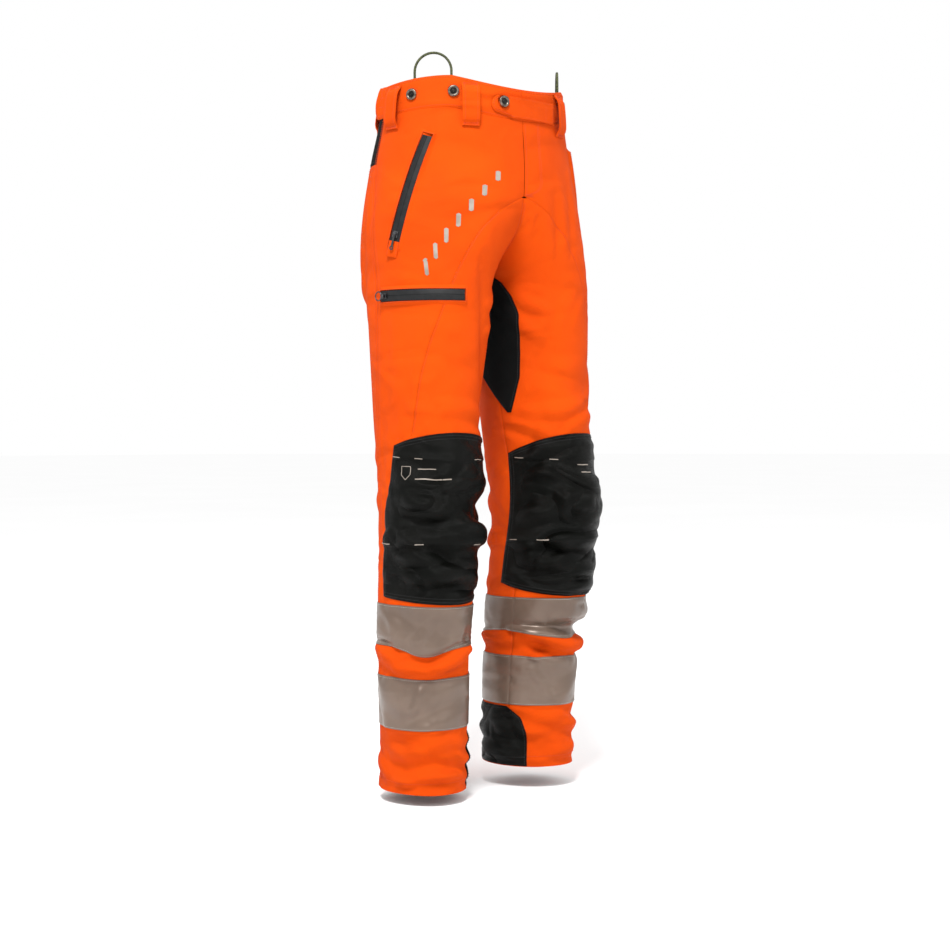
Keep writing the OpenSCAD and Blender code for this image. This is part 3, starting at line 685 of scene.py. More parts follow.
for col in (0, -1):
    rows = DEPTHS < CROTCH
    mean = (GRID[RIGHT][rows, col] + GRID[LEFT][rows, col]) / 2
    mean[:, 0] = 0
    for side in (RIGHT, LEFT):
        off = mean - GRID[side][rows, col]
        for k in range(REACH):
            GRID[side][rows, k if col == 0 else col - k] += off * ease(1 - k / REACH)
for side in (RIGHT, LEFT):
    rows = DEPTHS >= CROTCH
    mean = (GRID[side][rows, 0] + GRID[side][rows, -1]) / 2
    GRID[side][rows, 0] = GRID[side][rows, -1] = mean
    NORMAL[side] = net_normals(side, GRID[side], DEPTHS)
    step = np.linalg.norm(np.diff(form(side, ANGLES, DEPTHS[:, None]), axis=1), axis=-1)
    length = np.concatenate([np.zeros((len(DEPTHS), 1)), np.cumsum(step, 1)], 1)
    mid = [np.interp(180, ANGLES[r], length[r]) for r in range(len(DEPTHS))]
    ARC[side] = length - np.array(mid)[:, None]


def cell(f, d):
    """Place of an angle and depth on the grid: column, row and the shares between neighbours."""
    m = middle(d)
    u = np.where(d >= CROTCH, np.mod(f, 360) / 360, np.clip((f - m) / (360 - 2 * m), 0, 1))
    x = u * (COLS - 1)
    y = np.clip(d / HEM * (len(DEPTHS) - 1), 0, len(DEPTHS) - 1.0001)
    i, j = np.minimum(x.astype(int), COLS - 2), y.astype(int)
    return i, j, x - i, y - j


def look(field, c):
    """Value of a field at a place from cell()."""
    i, j, a, b = c
    if field.ndim == 3:
        a, b = a[..., None], b[..., None]
    return ((field[j, i] * (1 - a) + field[j, i + 1] * a) * (1 - b)
            + (field[j + 1, i] * (1 - a) + field[j + 1, i + 1] * a) * b)


def hollow(side):
    """How far each place lies below the cloth around it, smoothed: layers inside stay clear of it."""
    def around(a):
        return [a, np.roll(a, 1, 1), np.roll(a, -1, 1), np.vstack([a[:1], a[:-1]]),
                np.vstack([a[1:], a[-1:]])]

    low = OUT[side]
    for _ in range(4):
        low = np.minimum.reduce(around(low))
    for _ in range(10):
        low = sum(around(low)) / 5
    return low


def within(side, f, d, o=0.0):
    """Like at(), for the layers inside, which do not follow the sharp folds of the outer cloth."""
    f, d, o = np.broadcast_arrays(*(np.asarray(x, float) for x in (f, d, o)))
    c = cell(f, d)
    deep = ease(-o / 4)[..., None]
    away = (o + look(INSIDE[side], c))[..., None]
    clear = look(PLAIN[side], c) + look(PLAIN_NORMAL[side], c) * away
    return at(side, f, d, o) * (1 - deep) + clear * deep


def at(side, f, d, o=0.0):
    """Point of the folded garment, offset outwards, in millimetres."""
    f, d, o = np.broadcast_arrays(*(np.asarray(x, float) for x in (f, d, o)))
    c = cell(f, d)
    n = look(NORMAL[side], c)
    n = n / np.maximum(np.linalg.norm(n, axis=-1, keepdims=True), 1e-9)
    return look(GRID[side], c) + n * o[..., None]


for side in (RIGHT, LEFT):
    INSIDE[side] = np.minimum(hollow(side), 0)


def cloth_uv(side, f, d):
    """Metres round the garment and down it."""
    f, d = np.broadcast_arrays(np.asarray(f, float), np.asarray(d, float))
    wraps = np.where(d >= CROTCH, np.floor(f / 360 + 1e-9), 0)
    turn = look(ARC[side], cell(np.full(f.shape, 359.999), d)) - look(ARC[side], cell(f * 0 + 0.001, d))
    return np.stack([(look(ARC[side], cell(f, d)) + wraps * turn) * MM, -d * MM], -1)


# ---- materials ----------------------------------------------------------------------------------
def lin(r, g, b):
    """A colour given on the screen's scale of 0 to 255, as linear values."""
    return tuple(((c / 255 + 0.055) / 1.055) ** 2.4 if c > 10 else c / 255 / 12.92
                 for c in (r, g, b)) + (1.0,)


def node(tree, kind, **values):
    n = tree.nodes.new(kind)
    for key, value in values.items():
        if key in n.inputs:
            n.inputs[key].default_value = value
        else:
            setattr(n, key, value)
    return n


def maths(tree, operation, a, b=None):
    n = node(tree, "ShaderNodeMath", operation=operation)
    for socket, value in zip(n.inputs, (a, b)):
        if value is None:
            continue
        if isinstance(value, (int, float)):
            socket.default_value = value
        else:
            tree.links.new(value, socket)
    return n.outputs[0]


def base_material(name, roughness, metallic=0.0, **extra):
    mat = bpy.data.materials.new(name)
    mat.use_nodes = True
    shader = mat.node_tree.nodes["Principled BSDF"]
    shader.inputs["Roughness"].default_value = roughness
    shader.inputs["Metallic"].default_value = metallic
    for key, value in extra.items():
        shader.inputs[key.replace("_", " ")].default_value = value
    return mat, mat.node_tree, shader


def mottle(tree, dark, light, scale, low=0.35, high=0.65, detail=3.0):
    """Colour that wanders between two tones over the object."""
    coord = node(tree, "ShaderNodeTexCoord")
    noise = node(tree, "ShaderNodeTexNoise", Scale=scale, Detail=detail)
    tree.links.new(coord.outputs["Object"], noise.inputs["Vector"])
    ramp = node(tree, "ShaderNodeValToRGB")
    ramp.color_ramp.elements[0].position, ramp.color_ramp.elements[1].position = low, high
    ramp.color_ramp.elements[0].color, ramp.color_ramp.elements[1].color = dark, light
    tree.links.new(noise.outputs["Fac"], ramp.inputs["Fac"])
    return ramp.outputs["Color"]


def wrinkle(tree, scale, height, sharp):
    """Creases that run mostly level round the leg, as a bump of some millimetres."""
    coord = node(tree, "ShaderNodeTexCoord")
    stretch = node(tree, "ShaderNodeMapping", Scale=(1.0, 1.0, 1.9))
    noise = node(tree, "ShaderNodeTexNoise", Scale=scale, Detail=1.2, Roughness=0.4, Distortion=0.8)
    tree.links.new(coord.outputs["Object"], stretch.inputs["Vector"])
    tree.links.new(stretch.outputs["Vector"], noise.inputs["Vector"])
    fold = noise.outputs["Fac"]
    if sharp:
        fold = maths(tree, "ABSOLUTE", maths(tree, "SUBTRACT", fold, 0.5))
    # the seat and the thighs hang smoother than the legs below the knee
    split = node(tree, "ShaderNodeSeparateXYZ")
    tree.links.new(coord.outputs["Object"], split.inputs[0])
    lower = node(tree, "ShaderNodeMapRange")
    for key, value in (("From Min", -0.35), ("From Max", -0.8), ("To Min", 0.35), ("To Max", 1.0)):
        lower.inputs[key].default_value = value
    tree.links.new(split.outputs[2], lower.inputs["Value"])
    fold = maths(tree, "MULTIPLY", fold, lower.outputs[0])
    raised = node(tree, "ShaderNodeBump", Strength=1.0, Distance=height * MM)
    tree.links.new(fold, raised.inputs["Height"])
    return raised.outputs["Normal"]


def weave(mat, dark, light, thread=0.7, twill=True, strength=0.35, depth=0.25, sheen=0.25,
          roughness=0.85, tone=18.0, ripstop=0.0, specular=0.3, creased=0.0):
    """Woven cloth: threads along the UV, slubs, two tones and, if asked for, ripstop and creases."""
    mat, tree, shader = base_material(mat, roughness, Sheen_Weight=sheen, Sheen_Roughness=0.5,
                                      Specular_IOR_Level=specular)
    uv = node(tree, "ShaderNodeUVMap", uv_map="UVMap")
    split = node(tree, "ShaderNodeSeparateXYZ")
    tree.links.new(uv.outputs["UV"], split.inputs[0])
    k = 2 * math.pi / (thread * MM)
    warp = maths(tree, "SINE", maths(tree, "MULTIPLY", split.outputs[0], k))
    weft = maths(tree, "SINE", maths(tree, "MULTIPLY", split.outputs[1], k))
    height = maths(tree, "MULTIPLY", warp, weft)
    if twill:
        line = maths(tree, "ADD", split.outputs[0], split.outputs[1])
        height = maths(tree, "ADD", height, maths(tree, "SINE", maths(tree, "MULTIPLY", line, k / 2)))
    if ripstop:
        kk = 2 * math.pi / (ripstop * MM)
        for axis in (0, 1):
            c = maths(tree, "COSINE", maths(tree, "MULTIPLY", split.outputs[axis], kk))
            sharp = maths(tree, "POWER", maths(tree, "MAXIMUM", c, 0.0), 40.0)
            height = maths(tree, "ADD", height, sharp)
    coord = node(tree, "ShaderNodeTexCoord")
    slub = node(tree, "ShaderNodeTexNoise", Scale=900.0, Detail=2.0)
    tree.links.new(coord.outputs["Object"], slub.inputs["Vector"])
    height = maths(tree, "ADD", height, slub.outputs["Fac"])
    raised = node(tree, "ShaderNodeBump", Strength=strength, Distance=depth * MM)
    tree.links.new(height, raised.inputs["Height"])
    if creased:
        tree.links.new(wrinkle(tree, 9.0, creased, bool(ripstop)), raised.inputs["Normal"])
    tree.links.new(raised.outputs["Normal"], shader.inputs["Normal"])
    colour = mottle(tree, dark, light, tone)
    mixer = node(tree, "ShaderNodeMix", data_type="RGBA", blend_type="MULTIPLY")
    mixer.inputs["Factor"].default_value = 0.18
    tree.links.new(colour, mixer.inputs["A"])
    tree.links.new(slub.outputs["Color"], mixer.inputs["B"])
    tree.links.new(mixer.outputs["Result"], shader.inputs["Base Color"])
    return mat


def plain(mat, dark, light, roughness, metallic=0.0, tone=60.0, grain=400.0, strength=0.15,
          creased=0.0, **extra):
    """A smooth material of two tones with a fine grain."""
    mat, tree, shader = base_material(mat, roughness, metallic, **extra)
    tree.links.new(mottle(tree, dark, light, tone), shader.inputs["Base Color"])
    coord = node(tree, "ShaderNodeTexCoord")
    noise = node(tree, "ShaderNodeTexNoise", Scale=grain, Detail=4.0)
    tree.links.new(coord.outputs["Object"], noise.inputs["Vector"])
    raised = node(tree, "ShaderNodeBump", Strength=strength, Distance=0.1 * MM)
    tree.links.new(noise.outputs["Fac"], raised.inputs["Height"])
    if creased:
        tree.links.new(wrinkle(tree, 7.0, creased, False), raised.inputs["Normal"])
    tree.links.new(raised.outputs["Normal"], shader.inputs["Normal"])
    return mat


MAT = {
    "orange_cloth": weave("orange_cloth", lin(202, 66, 0), lin(213, 72, 0), sheen=0.0,
                          specular=0.1, tone=9.0, creased=34.0),
    "black_stretch": weave("black_stretch", lin(9, 10, 10), lin(15, 16, 16), 0.9, sheen=0.0,
                           specular=0.08),
    "black_ripstop": weave("black_ripstop", lin(6, 7, 5), lin(12, 12, 10), 0.6, False, 0.4,
                           ripstop=6.0, sheen=0.0, roughness=0.38, specular=0.07, creased=64.0),
    # the tape itself is silver-grey; its dim warm taupe is painted orange bounce light and painted shade
    "reflective_tape": plain("reflective_tape", lin(96, 80, 69), lin(108, 91, 79), 0.36, 0.3,
                             tone=14.0, grain=1400.0, strength=0.12, creased=34.0),
    "grey_transfer": plain("grey_transfer", lin(128, 118, 108), lin(150, 140, 130), 0.45, 0.1),
    "saw_fibre": weave("saw_fibre", lin(208, 206, 198), lin(236, 234, 226), 1.6, sheen=0.3),
    "lining_cloth": weave("lining_cloth", lin(44, 48, 54), lin(66, 70, 76), 1.2, False),
    "button_metal": plain("button_metal", lin(74, 66, 60), lin(128, 118, 108), 0.34, 0.9, 220.0),
    "zip_metal": plain("zip_metal", lin(56, 56, 58), lin(96, 96, 98), 0.38, 0.9, 300.0),
    "zip_tape": plain("zip_tape", lin(14, 15, 16), lin(24, 25, 26), 0.5, tone=120.0,
                      Specular_IOR_Level=0.25),
    "pull_plastic": plain("pull_plastic", lin(26, 27, 28), lin(42, 43, 44), 0.55),
    "elastic_cord": plain("elastic_cord", lin(14, 17, 11), lin(74, 80, 38), 0.8, tone=420.0),
}
DARK_METAL = plain("button_nail", lin(20, 18, 17), lin(44, 40, 37), 0.45, 0.8, 220.0)
THREAD = {
    "orange": plain("thread_orange", lin(186, 56, 0), lin(206, 66, 2), 0.7),
    "grey": plain("thread_grey", lin(150, 148, 142), lin(182, 180, 174), 0.7),
    "black": plain("thread_black", lin(20, 20, 21), lin(38, 38, 40), 0.7),
}


# ---- meshes -------------------------------------------------------------------------------------
def make(name, verts, faces, material, slot=None, uv=None, smooth=True):
    """A mesh object; verts in millimetres, uv as one pair for each vertex, in metres."""
    mesh = bpy.data.meshes.new(name)
    mesh.from_pydata((np.asarray(verts, float) * MM).tolist(), [],
                     [list(map(int, f)) for f in faces])
    layer = mesh.uv_layers.new(name="UVMap")
    loops = np.zeros(len(mesh.loops), np.int32)
    mesh.loops.foreach_get("vertex_index", loops)
    if uv is None:
        uv = np.asarray(verts, float)[:, [0, 2]] * MM
    layer.data.foreach_set("uv", np.asarray(uv, float)[loops].ravel())
    if smooth:
        mesh.polygons.foreach_set("use_smooth", np.ones(len(mesh.polygons), bool))
        mesh.set_sharp_from_angle(angle=math.radians(55))
    mesh.materials.append(material)
    mesh.update()
    obj = bpy.data.objects.new(name, mesh)
    bpy.context.scene.collection.objects.link(obj)
    if slot:
        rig.slot(obj, slot)
    return obj


def outward(obj):
    """Turn every face of a closed mesh outwards."""
    bm = bmesh.new()
    bm.from_mesh(obj.data)
    bmesh.ops.recalc_face_normals(bm, faces=bm.faces)
    bm.to_mesh(obj.data)
    bm.free()
    obj.data.update()
    return obj


def along(points, axis):
    """Length run along one axis of a grid of points."""
    step = np.linalg.norm(np.diff(points, axis=axis), axis=-1)
    pad = [(0, 0), (0, 0)]
    pad[axis] = (1, 0)
    return np.cumsum(np.pad(step, pad), axis=axis)


def cloth(name, grids, low, high, mat, reach=2.0, drop=0.7, place=at):
    """A closed piece of cloth. Each grid is (side, angles, depths, edges, extra): edges says how far
    the first column, last column, first row and last row roll inwards, as a share or as a function of
    depth, and extra raises the outer face."""
    tops, lows, uvs, sheets, keys, count = [], [], [], [], [], 0
    for side, f, d, edges, extra in grids:
        mid = at(side, f, d)
        across, down = along(mid, 1), along(mid, 0)
        fall = np.zeros(f.shape)
        for roll, dist in zip(edges, (across, across[:, -1:] - across, down, down[-1:] - down)):
            share = roll(d) if callable(roll) else roll
            fall = np.maximum(fall, share * np.exp(-(dist / reach) ** 2))
        offset = high - drop * fall + extra
        tops.append(place(side, f, d, offset).reshape(-1, 3))
        under = low(d) if callable(low) else low
        lows.append(place(side, f, d, np.minimum(under, offset - 0.3)).reshape(-1, 3))
        uvs.append(cloth_uv(side, f, d).reshape(-1, 2))
        nr, nc = f.shape
        q = grid_faces(np.arange(nr * nc).reshape(nr, nc) + count)
        sheets.append(q if side == RIGHT else q[:, ::-1])
        m = middle(d)
        centre = (d < CROTCH) & ((np.abs(f - m) < 1e-4) | (np.abs(360 - m - f) < 1e-4))
        turned = np.where(d >= CROTCH, np.mod(np.round(f, 4), 360), np.round(f, 4))
        keys.append(np.stack([np.where(centre, 0, side), turned, np.round(d, 4)], -1).reshape(-1, 3))
        count += nr * nc
    top, under, uv = np.concatenate(tops), np.concatenate(lows), np.concatenate(uvs)
    _, first, inverse = np.unique(np.round(np.concatenate(keys) * 1000).astype(np.int64), axis=0,
                                  return_index=True, return_inverse=True)
    quads = inverse.reshape(-1)[np.concatenate(sheets)]
    top, under, uv = top[first], under[first], uv[first]
    n = len(top)
    seen, faces = {}, []
    for q in quads.tolist():
        q = list(dict.fromkeys(q))
        if len(q) < 3:
            continue
        faces.append(q)
        for a, b in zip(q, q[1:] + q[:1]):
            seen[(a, b)] = seen.get((a, b), 0) + 1
    walls = [[b, a, a + n, b + n] for a, b in seen if (b, a) not in seen]
    back = [[v + n for v in reversed(q)] for q in faces]
    return make(name, np.concatenate([top, under]), faces + back + walls, MAT[mat], mat,
                np.concatenate([uv, uv]))


def spread(a, b, step):
    """Even places from a to b, at most a step apart."""
    return np.linspace(a, b, max(2, int(math.ceil(abs(b - a) / step)) + 1))


def between(side, rows, start, stop, edges=(1, 1, 1, 1), step=3.4, columns=None, extra=None):
    """A grid with level rows, from one angle curve to another."""
    rows = np.asarray(rows, float)
    a, b = np.broadcast_to(start(rows), rows.shape), np.broadcast_to(stop(rows), rows.shape)
    if columns is None:
        columns = max(4, int(np.max((b - a) * np.radians(level(rows, 2))) / step))
    f = a[:, None] + (b - a)[:, None] * np.linspace(0, 1, columns)[None, :]
    d = np.broadcast_to(rows[:, None], f.shape)
    return side, f, d, edges, np.zeros(f.shape) if extra is None else extra(f, d)


KNEE_FROM, KNEE_TO = (0, 0, -0.53), (0, 0, -0.77)


def bends(obj, side):
    """The piece crosses the knee and bends with it."""
    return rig.blend(obj, "trousers", "lower_leg_" + NAME[side], start=KNEE_FROM, end=KNEE_TO)


# ---- stitching: every stitch is a small arched bead of thread -----------------------------------
STITCHES = {}


def stitch_beads(points, out, colour, side, pitch=3.6, thick=0.34, fill=0.74):
    """Stitches along a line of points, in millimetres, lying on a surface with normals out."""
    points, out = np.asarray(points, float), np.asarray(out, float)
    s = np.concatenate([[0], np.cumsum(np.linalg.norm(np.diff(points, axis=0), axis=1))])
    count = int(s[-1] / pitch)
    if count < 1:
        return
    starts = (np.arange(count) + 0.13) * (s[-1] / count)
    rings = []
    for share, lift, size in ((0, -0.35, 0.5), (0.3, 0.12, 1.0), (0.7, 0.12, 1.0), (1, -0.35, 0.5)):
        x = starts + share * fill * s[-1] / count
        p = np.stack([np.interp(x, s, points[:, k]) for k in range(3)], -1)
        n = np.stack([np.interp(x, s, out[:, k]) for k in range(3)], -1)
        n /= np.linalg.norm(n, axis=-1, keepdims=True)
        ahead = np.stack([np.interp(x + 0.5, s, points[:, k]) - np.interp(x - 0.5, s, points[:, k])
                          for k in range(3)], -1)
        b = np.cross(n, ahead)
        b /= np.maximum(np.linalg.norm(b, axis=-1, keepdims=True), 1e-9)
        p = p + n * lift
        rings.append(np.stack([p + n * thick * size, p + b * thick * size, p - n * thick * size * 0.6,
                               p - b * thick * size], 1))
    verts = np.stack(rings, 1).reshape(-1, 3)
    block = []
    for k in range(3):
        for j in range(4):
            a, b = 4 * k + j, 4 * k + (j + 1) % 4
            block.append([a, b, b + 4, a + 4])
    block += [[3, 2, 1, 0], [12, 13, 14, 15]]
    faces = (np.arange(count)[:, None, None] * 16 + np.array(block)[None]).reshape(-1, 4)
    STITCHES.setdefault((side, colour), []).append((verts, faces))


def stitch(side, f, d, colour="orange", o=0.15, **more):
    """Stitches along angles and depths on the garment."""
    f, d = np.broadcast_arrays(np.asarray(f, float), np.asarray(d, float))
    line = at(side, f, d, o)
    keep = np.concatenate([[True], np.linalg.norm(np.diff(line, axis=0), axis=1) > 1e-3])
    stitch_beads(line[keep], (at(side, f, d, o + 1) - line)[keep], colour, side, **more)


def down(side, curve, a, b, shift=0.0, **more):
    """Stitches down a seam, shifted sideways by some millimetres."""
    d = np.linspace(a, b, int((b - a) / 2.5) + 2)
    stitch(side, curve(d) + np.degrees(shift / level(d, 2)), d, **more)


def level_stitch(side, d, f0, f1, **more):
    f = np.linspace(f0, f1, int(abs(f1 - f0) / 1.2) + 2)
    stitch(side, f, np.full(f.shape, float(d)), **more)


# ---- outer cloth: whole pieces from the waist to the hem, with the seams between them -----------
def crotch_roll(d):
    """The edges at the middle lie flat near the crotch, so that the two halves meet there."""
    return 1 - ease((d - 200) / 30) * ease((300 - d) / 12)


def hem_turn(f, d):
    """The hem is turned up and sewn, so it is thicker below the stitching."""
    return 0.7 * ease((d - (HEM - 16)) / 2.5) - 0.5 * np.exp(-((d - (HEM - 17)) / 1.4) ** 2)


SEAM_END = 550  # depth at which the curved front seam ends, under the knee patch
for side in (RIGHT, LEFT):
    s = NAME[side]
    wide = 34
    outer = beside(side_seam, -HALF_SEAM)
    split = fixed(float(front_seam(SEAM_END)) + HALF_SEAM)
    upper = between(side, spread(BAND_H + 0.3, SEAM_END, 3.2), beside(front_seam, HALF_SEAM),
                    outer, (1, 1, 0, 0), columns=wide)
    lower = between(side, spread(SEAM_END, HEM, 3.2), split, outer, (0, 1, 0, 0), columns=wide,
                    extra=hem_turn)
    inner = between(side, spread(SEAM_END, HEM, 3.2), fixed(0.25), split, (1, 0, 0, 0),
                    extra=hem_turn)
    obj = cloth("front_cloth_" + s, [upper, lower, inner], -1.2, 0, "orange_cloth")
    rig.replaces(bends(obj, side), "front_panel_" + s, "knee_front_" + s, "shin_front_" + s)
    obj = cloth("inner_cloth_" + s, [between(side, spread(FLY_END + 1, SEAM_END, 3.2), start_angle,
                beside(front_seam, -HALF_SEAM), (crotch_roll, 1, 0, 0))], -1.2, 0, "orange_cloth")
    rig.replaces(bends(obj, side), "inner_panel_" + s)
    obj = cloth("back_cloth_" + s, [between(side, spread(YOKE_END, HEM, 3.2),
                beside(side_seam, HALF_SEAM), end_angle, (1, crotch_roll, 1, 0),
                extra=hem_turn)], -1.2, 0, "orange_cloth")
    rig.replaces(bends(obj, side), "back_panel_" + s, "knee_back_" + s, "shin_back_" + s)
    # topstitching
    down(side, front_seam, 205, 533, -2.2)
    down(side, side_seam, BAND_H + 3, HEM - 2, -1.8)
    down(side, side_seam, BAND_H + 3, HEM - 2, 3.2)
    down(side, side_seam, 128, HEM - 2, -7.5)
    down(side, fixed(360), 505, 975, -2.0)
    down(side, back_middle, 130, 276, -2.5)
    down(side, back_middle, 130, 276, -7)
    down(side, middle, 186, 276, 2.5)
    level_stitch(side, HEM - 17, 1, 359)
    for depth in (130, 135):
        level_stitch(side, depth, float(side_seam(depth)) + 1, float(end_angle(depth)) - 0.5)

seat = []
for side in (RIGHT, LEFT):
    seat.append(between(side, spread(BAND_H + 0.3, YOKE_END - 0.4, 3.2), fixed(192 + HALF_SEAM),
                        back_middle, (1, 0, 1, 1), columns=56))
obj = cloth("yoke_cloth", seat, -1.2, 0, "black_stretch")
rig.replaces(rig.ride(obj, "trousers"), "back_yoke")
for side in (RIGHT, LEFT):
    level_stitch(side, 121, 194, float(end_angle(121)), colour="black")

# stretch gusset over the inseam
GUSSET_MID = [(288, 7), (350, 3), (410, 0), (450, 4), (500, 10)]
GUSSET_HALF = [(288, 9), (300, 17), (320, 25), (350, 31), (410, 30), (446, 23), (475, 12), (500, 2)]
for side in (RIGHT, LEFT):
    s = NAME[side]
    g0 = lambda d: path(d, GUSSET_MID) - path(d, GUSSET_HALF)
    g1 = lambda d: path(d, GUSSET_MID) + path(d, GUSSET_HALF)
    obj = cloth("gusset_cloth_" + s, [between(side, spread(292, 500, 2.6), g0, g1, columns=30)],
                0.5, 1.9, "black_stretch", drop=0.9)
    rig.replaces(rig.ride(obj, "trousers"), "gusset_" + s)
    down(side, g0, 300, 492, 2.6, colour="black", o=1.8)
    down(side, g1, 300, 492, -2.6, colour="black", o=1.8)

# ---- knee patches -------------------------------------------------------------------------------
PATCH_IN = [(530, 4), (608, -4), (718, -16), (790, -22)]
PATCH_OUT = [(530, 158), (606, 167), (650, 176), (790, 171)]


def patch_top(u):
    return 534 + 24 * np.abs(2 * u - 1.1) ** 2.2


def patch_bottom(u):
    return 786 - 20 * np.maximum(0, 1 - 2 * u) ** 2 - 8 * np.maximum(0, 2 * u - 1) ** 2


def patch_place(u, v):
    d = mix(patch_top(u), patch_bottom(u), v)
    return mix(path(d, PATCH_IN), path(d, PATCH_OUT), u), d


def pleat_depth(f, k):
    """Two tucks across the patch let the knee bend."""
    return (571, 699)[k] + (5, -3)[k] * np.sin(np.radians(f * 1.1))


def patch_relief(f, d):
    out = np.zeros(f.shape)
    for k in (0, 1):
        d0 = pleat_depth(f, k)
        out += 1.4 * np.clip((d - d0 + 13) / 13, 0, 1) ** 1.5 * (d < d0) \
            + 1.4 * np.clip(1 - (d - d0) / 1.6, 0, 1) * (d >= d0)
    u = (f - path(d, PATCH_IN)) / (path(d, PATCH_OUT) - path(d, PATCH_IN))
    inside = ease(np.minimum(u, 1 - u) / 0.08) * ease((d - patch_top(u) - 6) / 12) \
        * ease((patch_bottom(u) - d - 6) / 12)
    return out * ease(np.minimum(u, 1 - u) / 0.03) + 1.2 * inside


def on_patch(side, f, d, extra=0.0):
    return 2.4 + patch_relief(np.asarray(f, float), np.asarray(d, float)) + extra


for side in (RIGHT, LEFT):
    s = NAME[side]
    u, v = np.meshgrid(np.linspace(0, 1, 84), np.linspace(0, 1, 116))
    f, d = patch_place(u, v)
    obj = cloth("knee_cloth_" + s, [(side, f, d, (1, 1, 1, 1), patch_relief(f, d))], 0.3, 2.4,
                "black_ripstop", reach=1.6, drop=1.3)
    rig.replaces(bends(obj, side), "knee_patch_" + s)
    for inset in (0.016, 0.034):
        t = np.linspace(0.01, 0.99, 120)
        for line in ((t, t * 0 + inset), (t, t * 0 + 1 - inset),
                     (t * 0 + inset, t), (t * 0 + 1 - inset, t)):
            pf, pd = patch_place(*line)
            line_on = at(side, pf, pd, on_patch(side, pf, pd, 0.1))
            stitch_beads(line_on, at(side, pf, pd, 4.0) - at(side, pf, pd), "black", side)

# ---- reflective bands, ankle patches ------------------------------------------------------------
def creases(seed, top, height, count=44):
    """Short sharp creases of a coated tape, as extra height over the cloth."""
    pick = np.random.default_rng(seed)
    marks = [(pick.uniform(0, 360), pick.uniform(0, height), pick.uniform(10, 44),
              pick.normal(0, 0.7), pick.uniform(0.15, 0.5), pick.uniform(1.2, 3.0))
              for _ in range(count)]

    def extra(f, d):
        out = np.zeros(f.shape)
        for f0, d0, half, lean, rise, width in marks:
            x = (np.mod(f - f0 + 180, 360) - 180) * 1.22
            y = d - top - d0 - lean * x
            out += rise * np.exp(-(np.abs(y) / width)) * np.clip(1 - (x / half) ** 2, 0, 1)
        return np.minimum(out, 1.1)
    return extra


TAPE_H = 76
for number, (band, top) in enumerate((("upper", 789), ("lower", 898))):
    for side in (RIGHT, LEFT):
        s = NAME[side]
        mark = creases(17 * number + side + 5, top, TAPE_H)
        grid = between(side, spread(top, top + TAPE_H, 1.9), fixed(0.08), fixed(359.92), step=2.2,
                       extra=mark)
        obj = cloth(band + "_tape_" + s, [grid], 0.3, 1.5, "reflective_tape", reach=1.2, drop=0.5)
        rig.replaces(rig.ride(obj, "lower_leg_" + s), band + "_band_" + s)
        for depth in (top + 2.2, top + TAPE_H - 2.2):
            f = np.linspace(2, 358, 300)
            d = np.full(f.shape, depth)
            lift = 1.5 + mark(f, d)
            stitch_beads(at(side, f, d, lift), at(side, f, d, 3.0) - at(side, f, d), "grey", side,
                         pitch=3.2, thick=0.26)

# ankle patch over the inner side of the hem
ANKLE_OUT = [(976, -4), (994, 16), (1016, 24), (1070, 24)]
for side in (RIGHT, LEFT):
    s = NAME[side]
    a1 = lambda d: path(d, ANKLE_OUT)
    puff = lambda f, d: 0.8 * ease((f + 66) / 6) * ease((path(d, ANKLE_OUT) - 3 - f) / 6) \
        * ease((d - 982) / 6) * ease((1062 - d) / 6)
    obj = cloth("ankle_cloth_" + s, [between(side, spread(977, 1069, 2.4), fixed(-70.0), a1,
                columns=44, extra=puff)], 0.3, 2.0, "black_ripstop", reach=1.6, drop=1.0)
    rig.replaces(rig.ride(obj, "lower_leg_" + s), "ankle_patch_" + s)
    down(side, a1, 984, 1066, -3, colour="black", o=2.2)
    down(side, fixed(-70.0), 980, 1066, 3, colour="black", o=2.2)
    level_stitch(side, 980.5, -66, -8, colour="black", o=2.0)
    level_stitch(side, 1054, -68, 22, colour="black", o=2.6)

# ---- waistband ----------------------------------------------------------------------------------
def band_puff(f, d):
    """Rolled edges with a slight swelling between the two rows of stitching."""
    return 0.7 * ease((d - 3) / 5) * ease((BAND_H - 4 - d) / 5)


def gathers(f, d):
    """The back of the band is elastic and gathered into small upright ripples."""
    t = np.radians(f)
    wave = np.sin(41 * t + 1.7 * np.sin(5 * t)) + 0.45 * np.sin(67 * t + 2.1 * np.sin(7 * t) + d / 15)
    ends = ease((f - 190) / 14)
    corner = 5.0 * bump(f, 212, 17) * (0.45 + 0.55 * np.sin(np.pi * d / BAND_H))
    return band_puff(f, d) + ends * (2.1 * wave * (0.5 + 0.5 * np.sin(np.pi * d / BAND_H)) + 1.4
                                     + corner)


waist_rows = spread(0, BAND_H, 1.9)
for side in (RIGHT, LEFT):
    s = NAME[side]
    obj = cloth("waist_cloth_" + s, [between(side, waist_rows, start_angle, fixed(183.9), step=2.6,
                extra=band_puff)], -2.2, 0.4, "orange_cloth", reach=1.6, drop=0.9)
    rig.replaces(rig.ride(obj, "trousers"), "waistband_" + s)
    for depth in (3.2, BAND_H - 3.2):
        level_stitch(side, depth, float(start_angle(depth)) + 1, 183, o=0.6)
obj = cloth("waist_cloth_back", [between(side, waist_rows, fixed(184.1),
            back_middle, (1, 0, 1, 1), columns=150, extra=gathers)
            for side in (RIGHT, LEFT)], -2.2, 0.4, "orange_cloth", reach=1.6, drop=0.9)
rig.replaces(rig.ride(obj, "trousers"), "waistband_back")
for side in (RIGHT, LEFT):
    for depth in (4, 17, 31, BAND_H - 4):
        f = np.linspace(186, 269.5, 130)
        d = np.full(f.shape, float(depth))
        stitch_beads(at(side, f, d, 0.45 + gathers(f, d)), at(side, f, d, 1.5) - at(side, f, d),
                     "orange", side)

# ---- belt loops: a strap sewn down at both ends, with a bar tack at each ------------------------
STRAP_HALF = 13.5
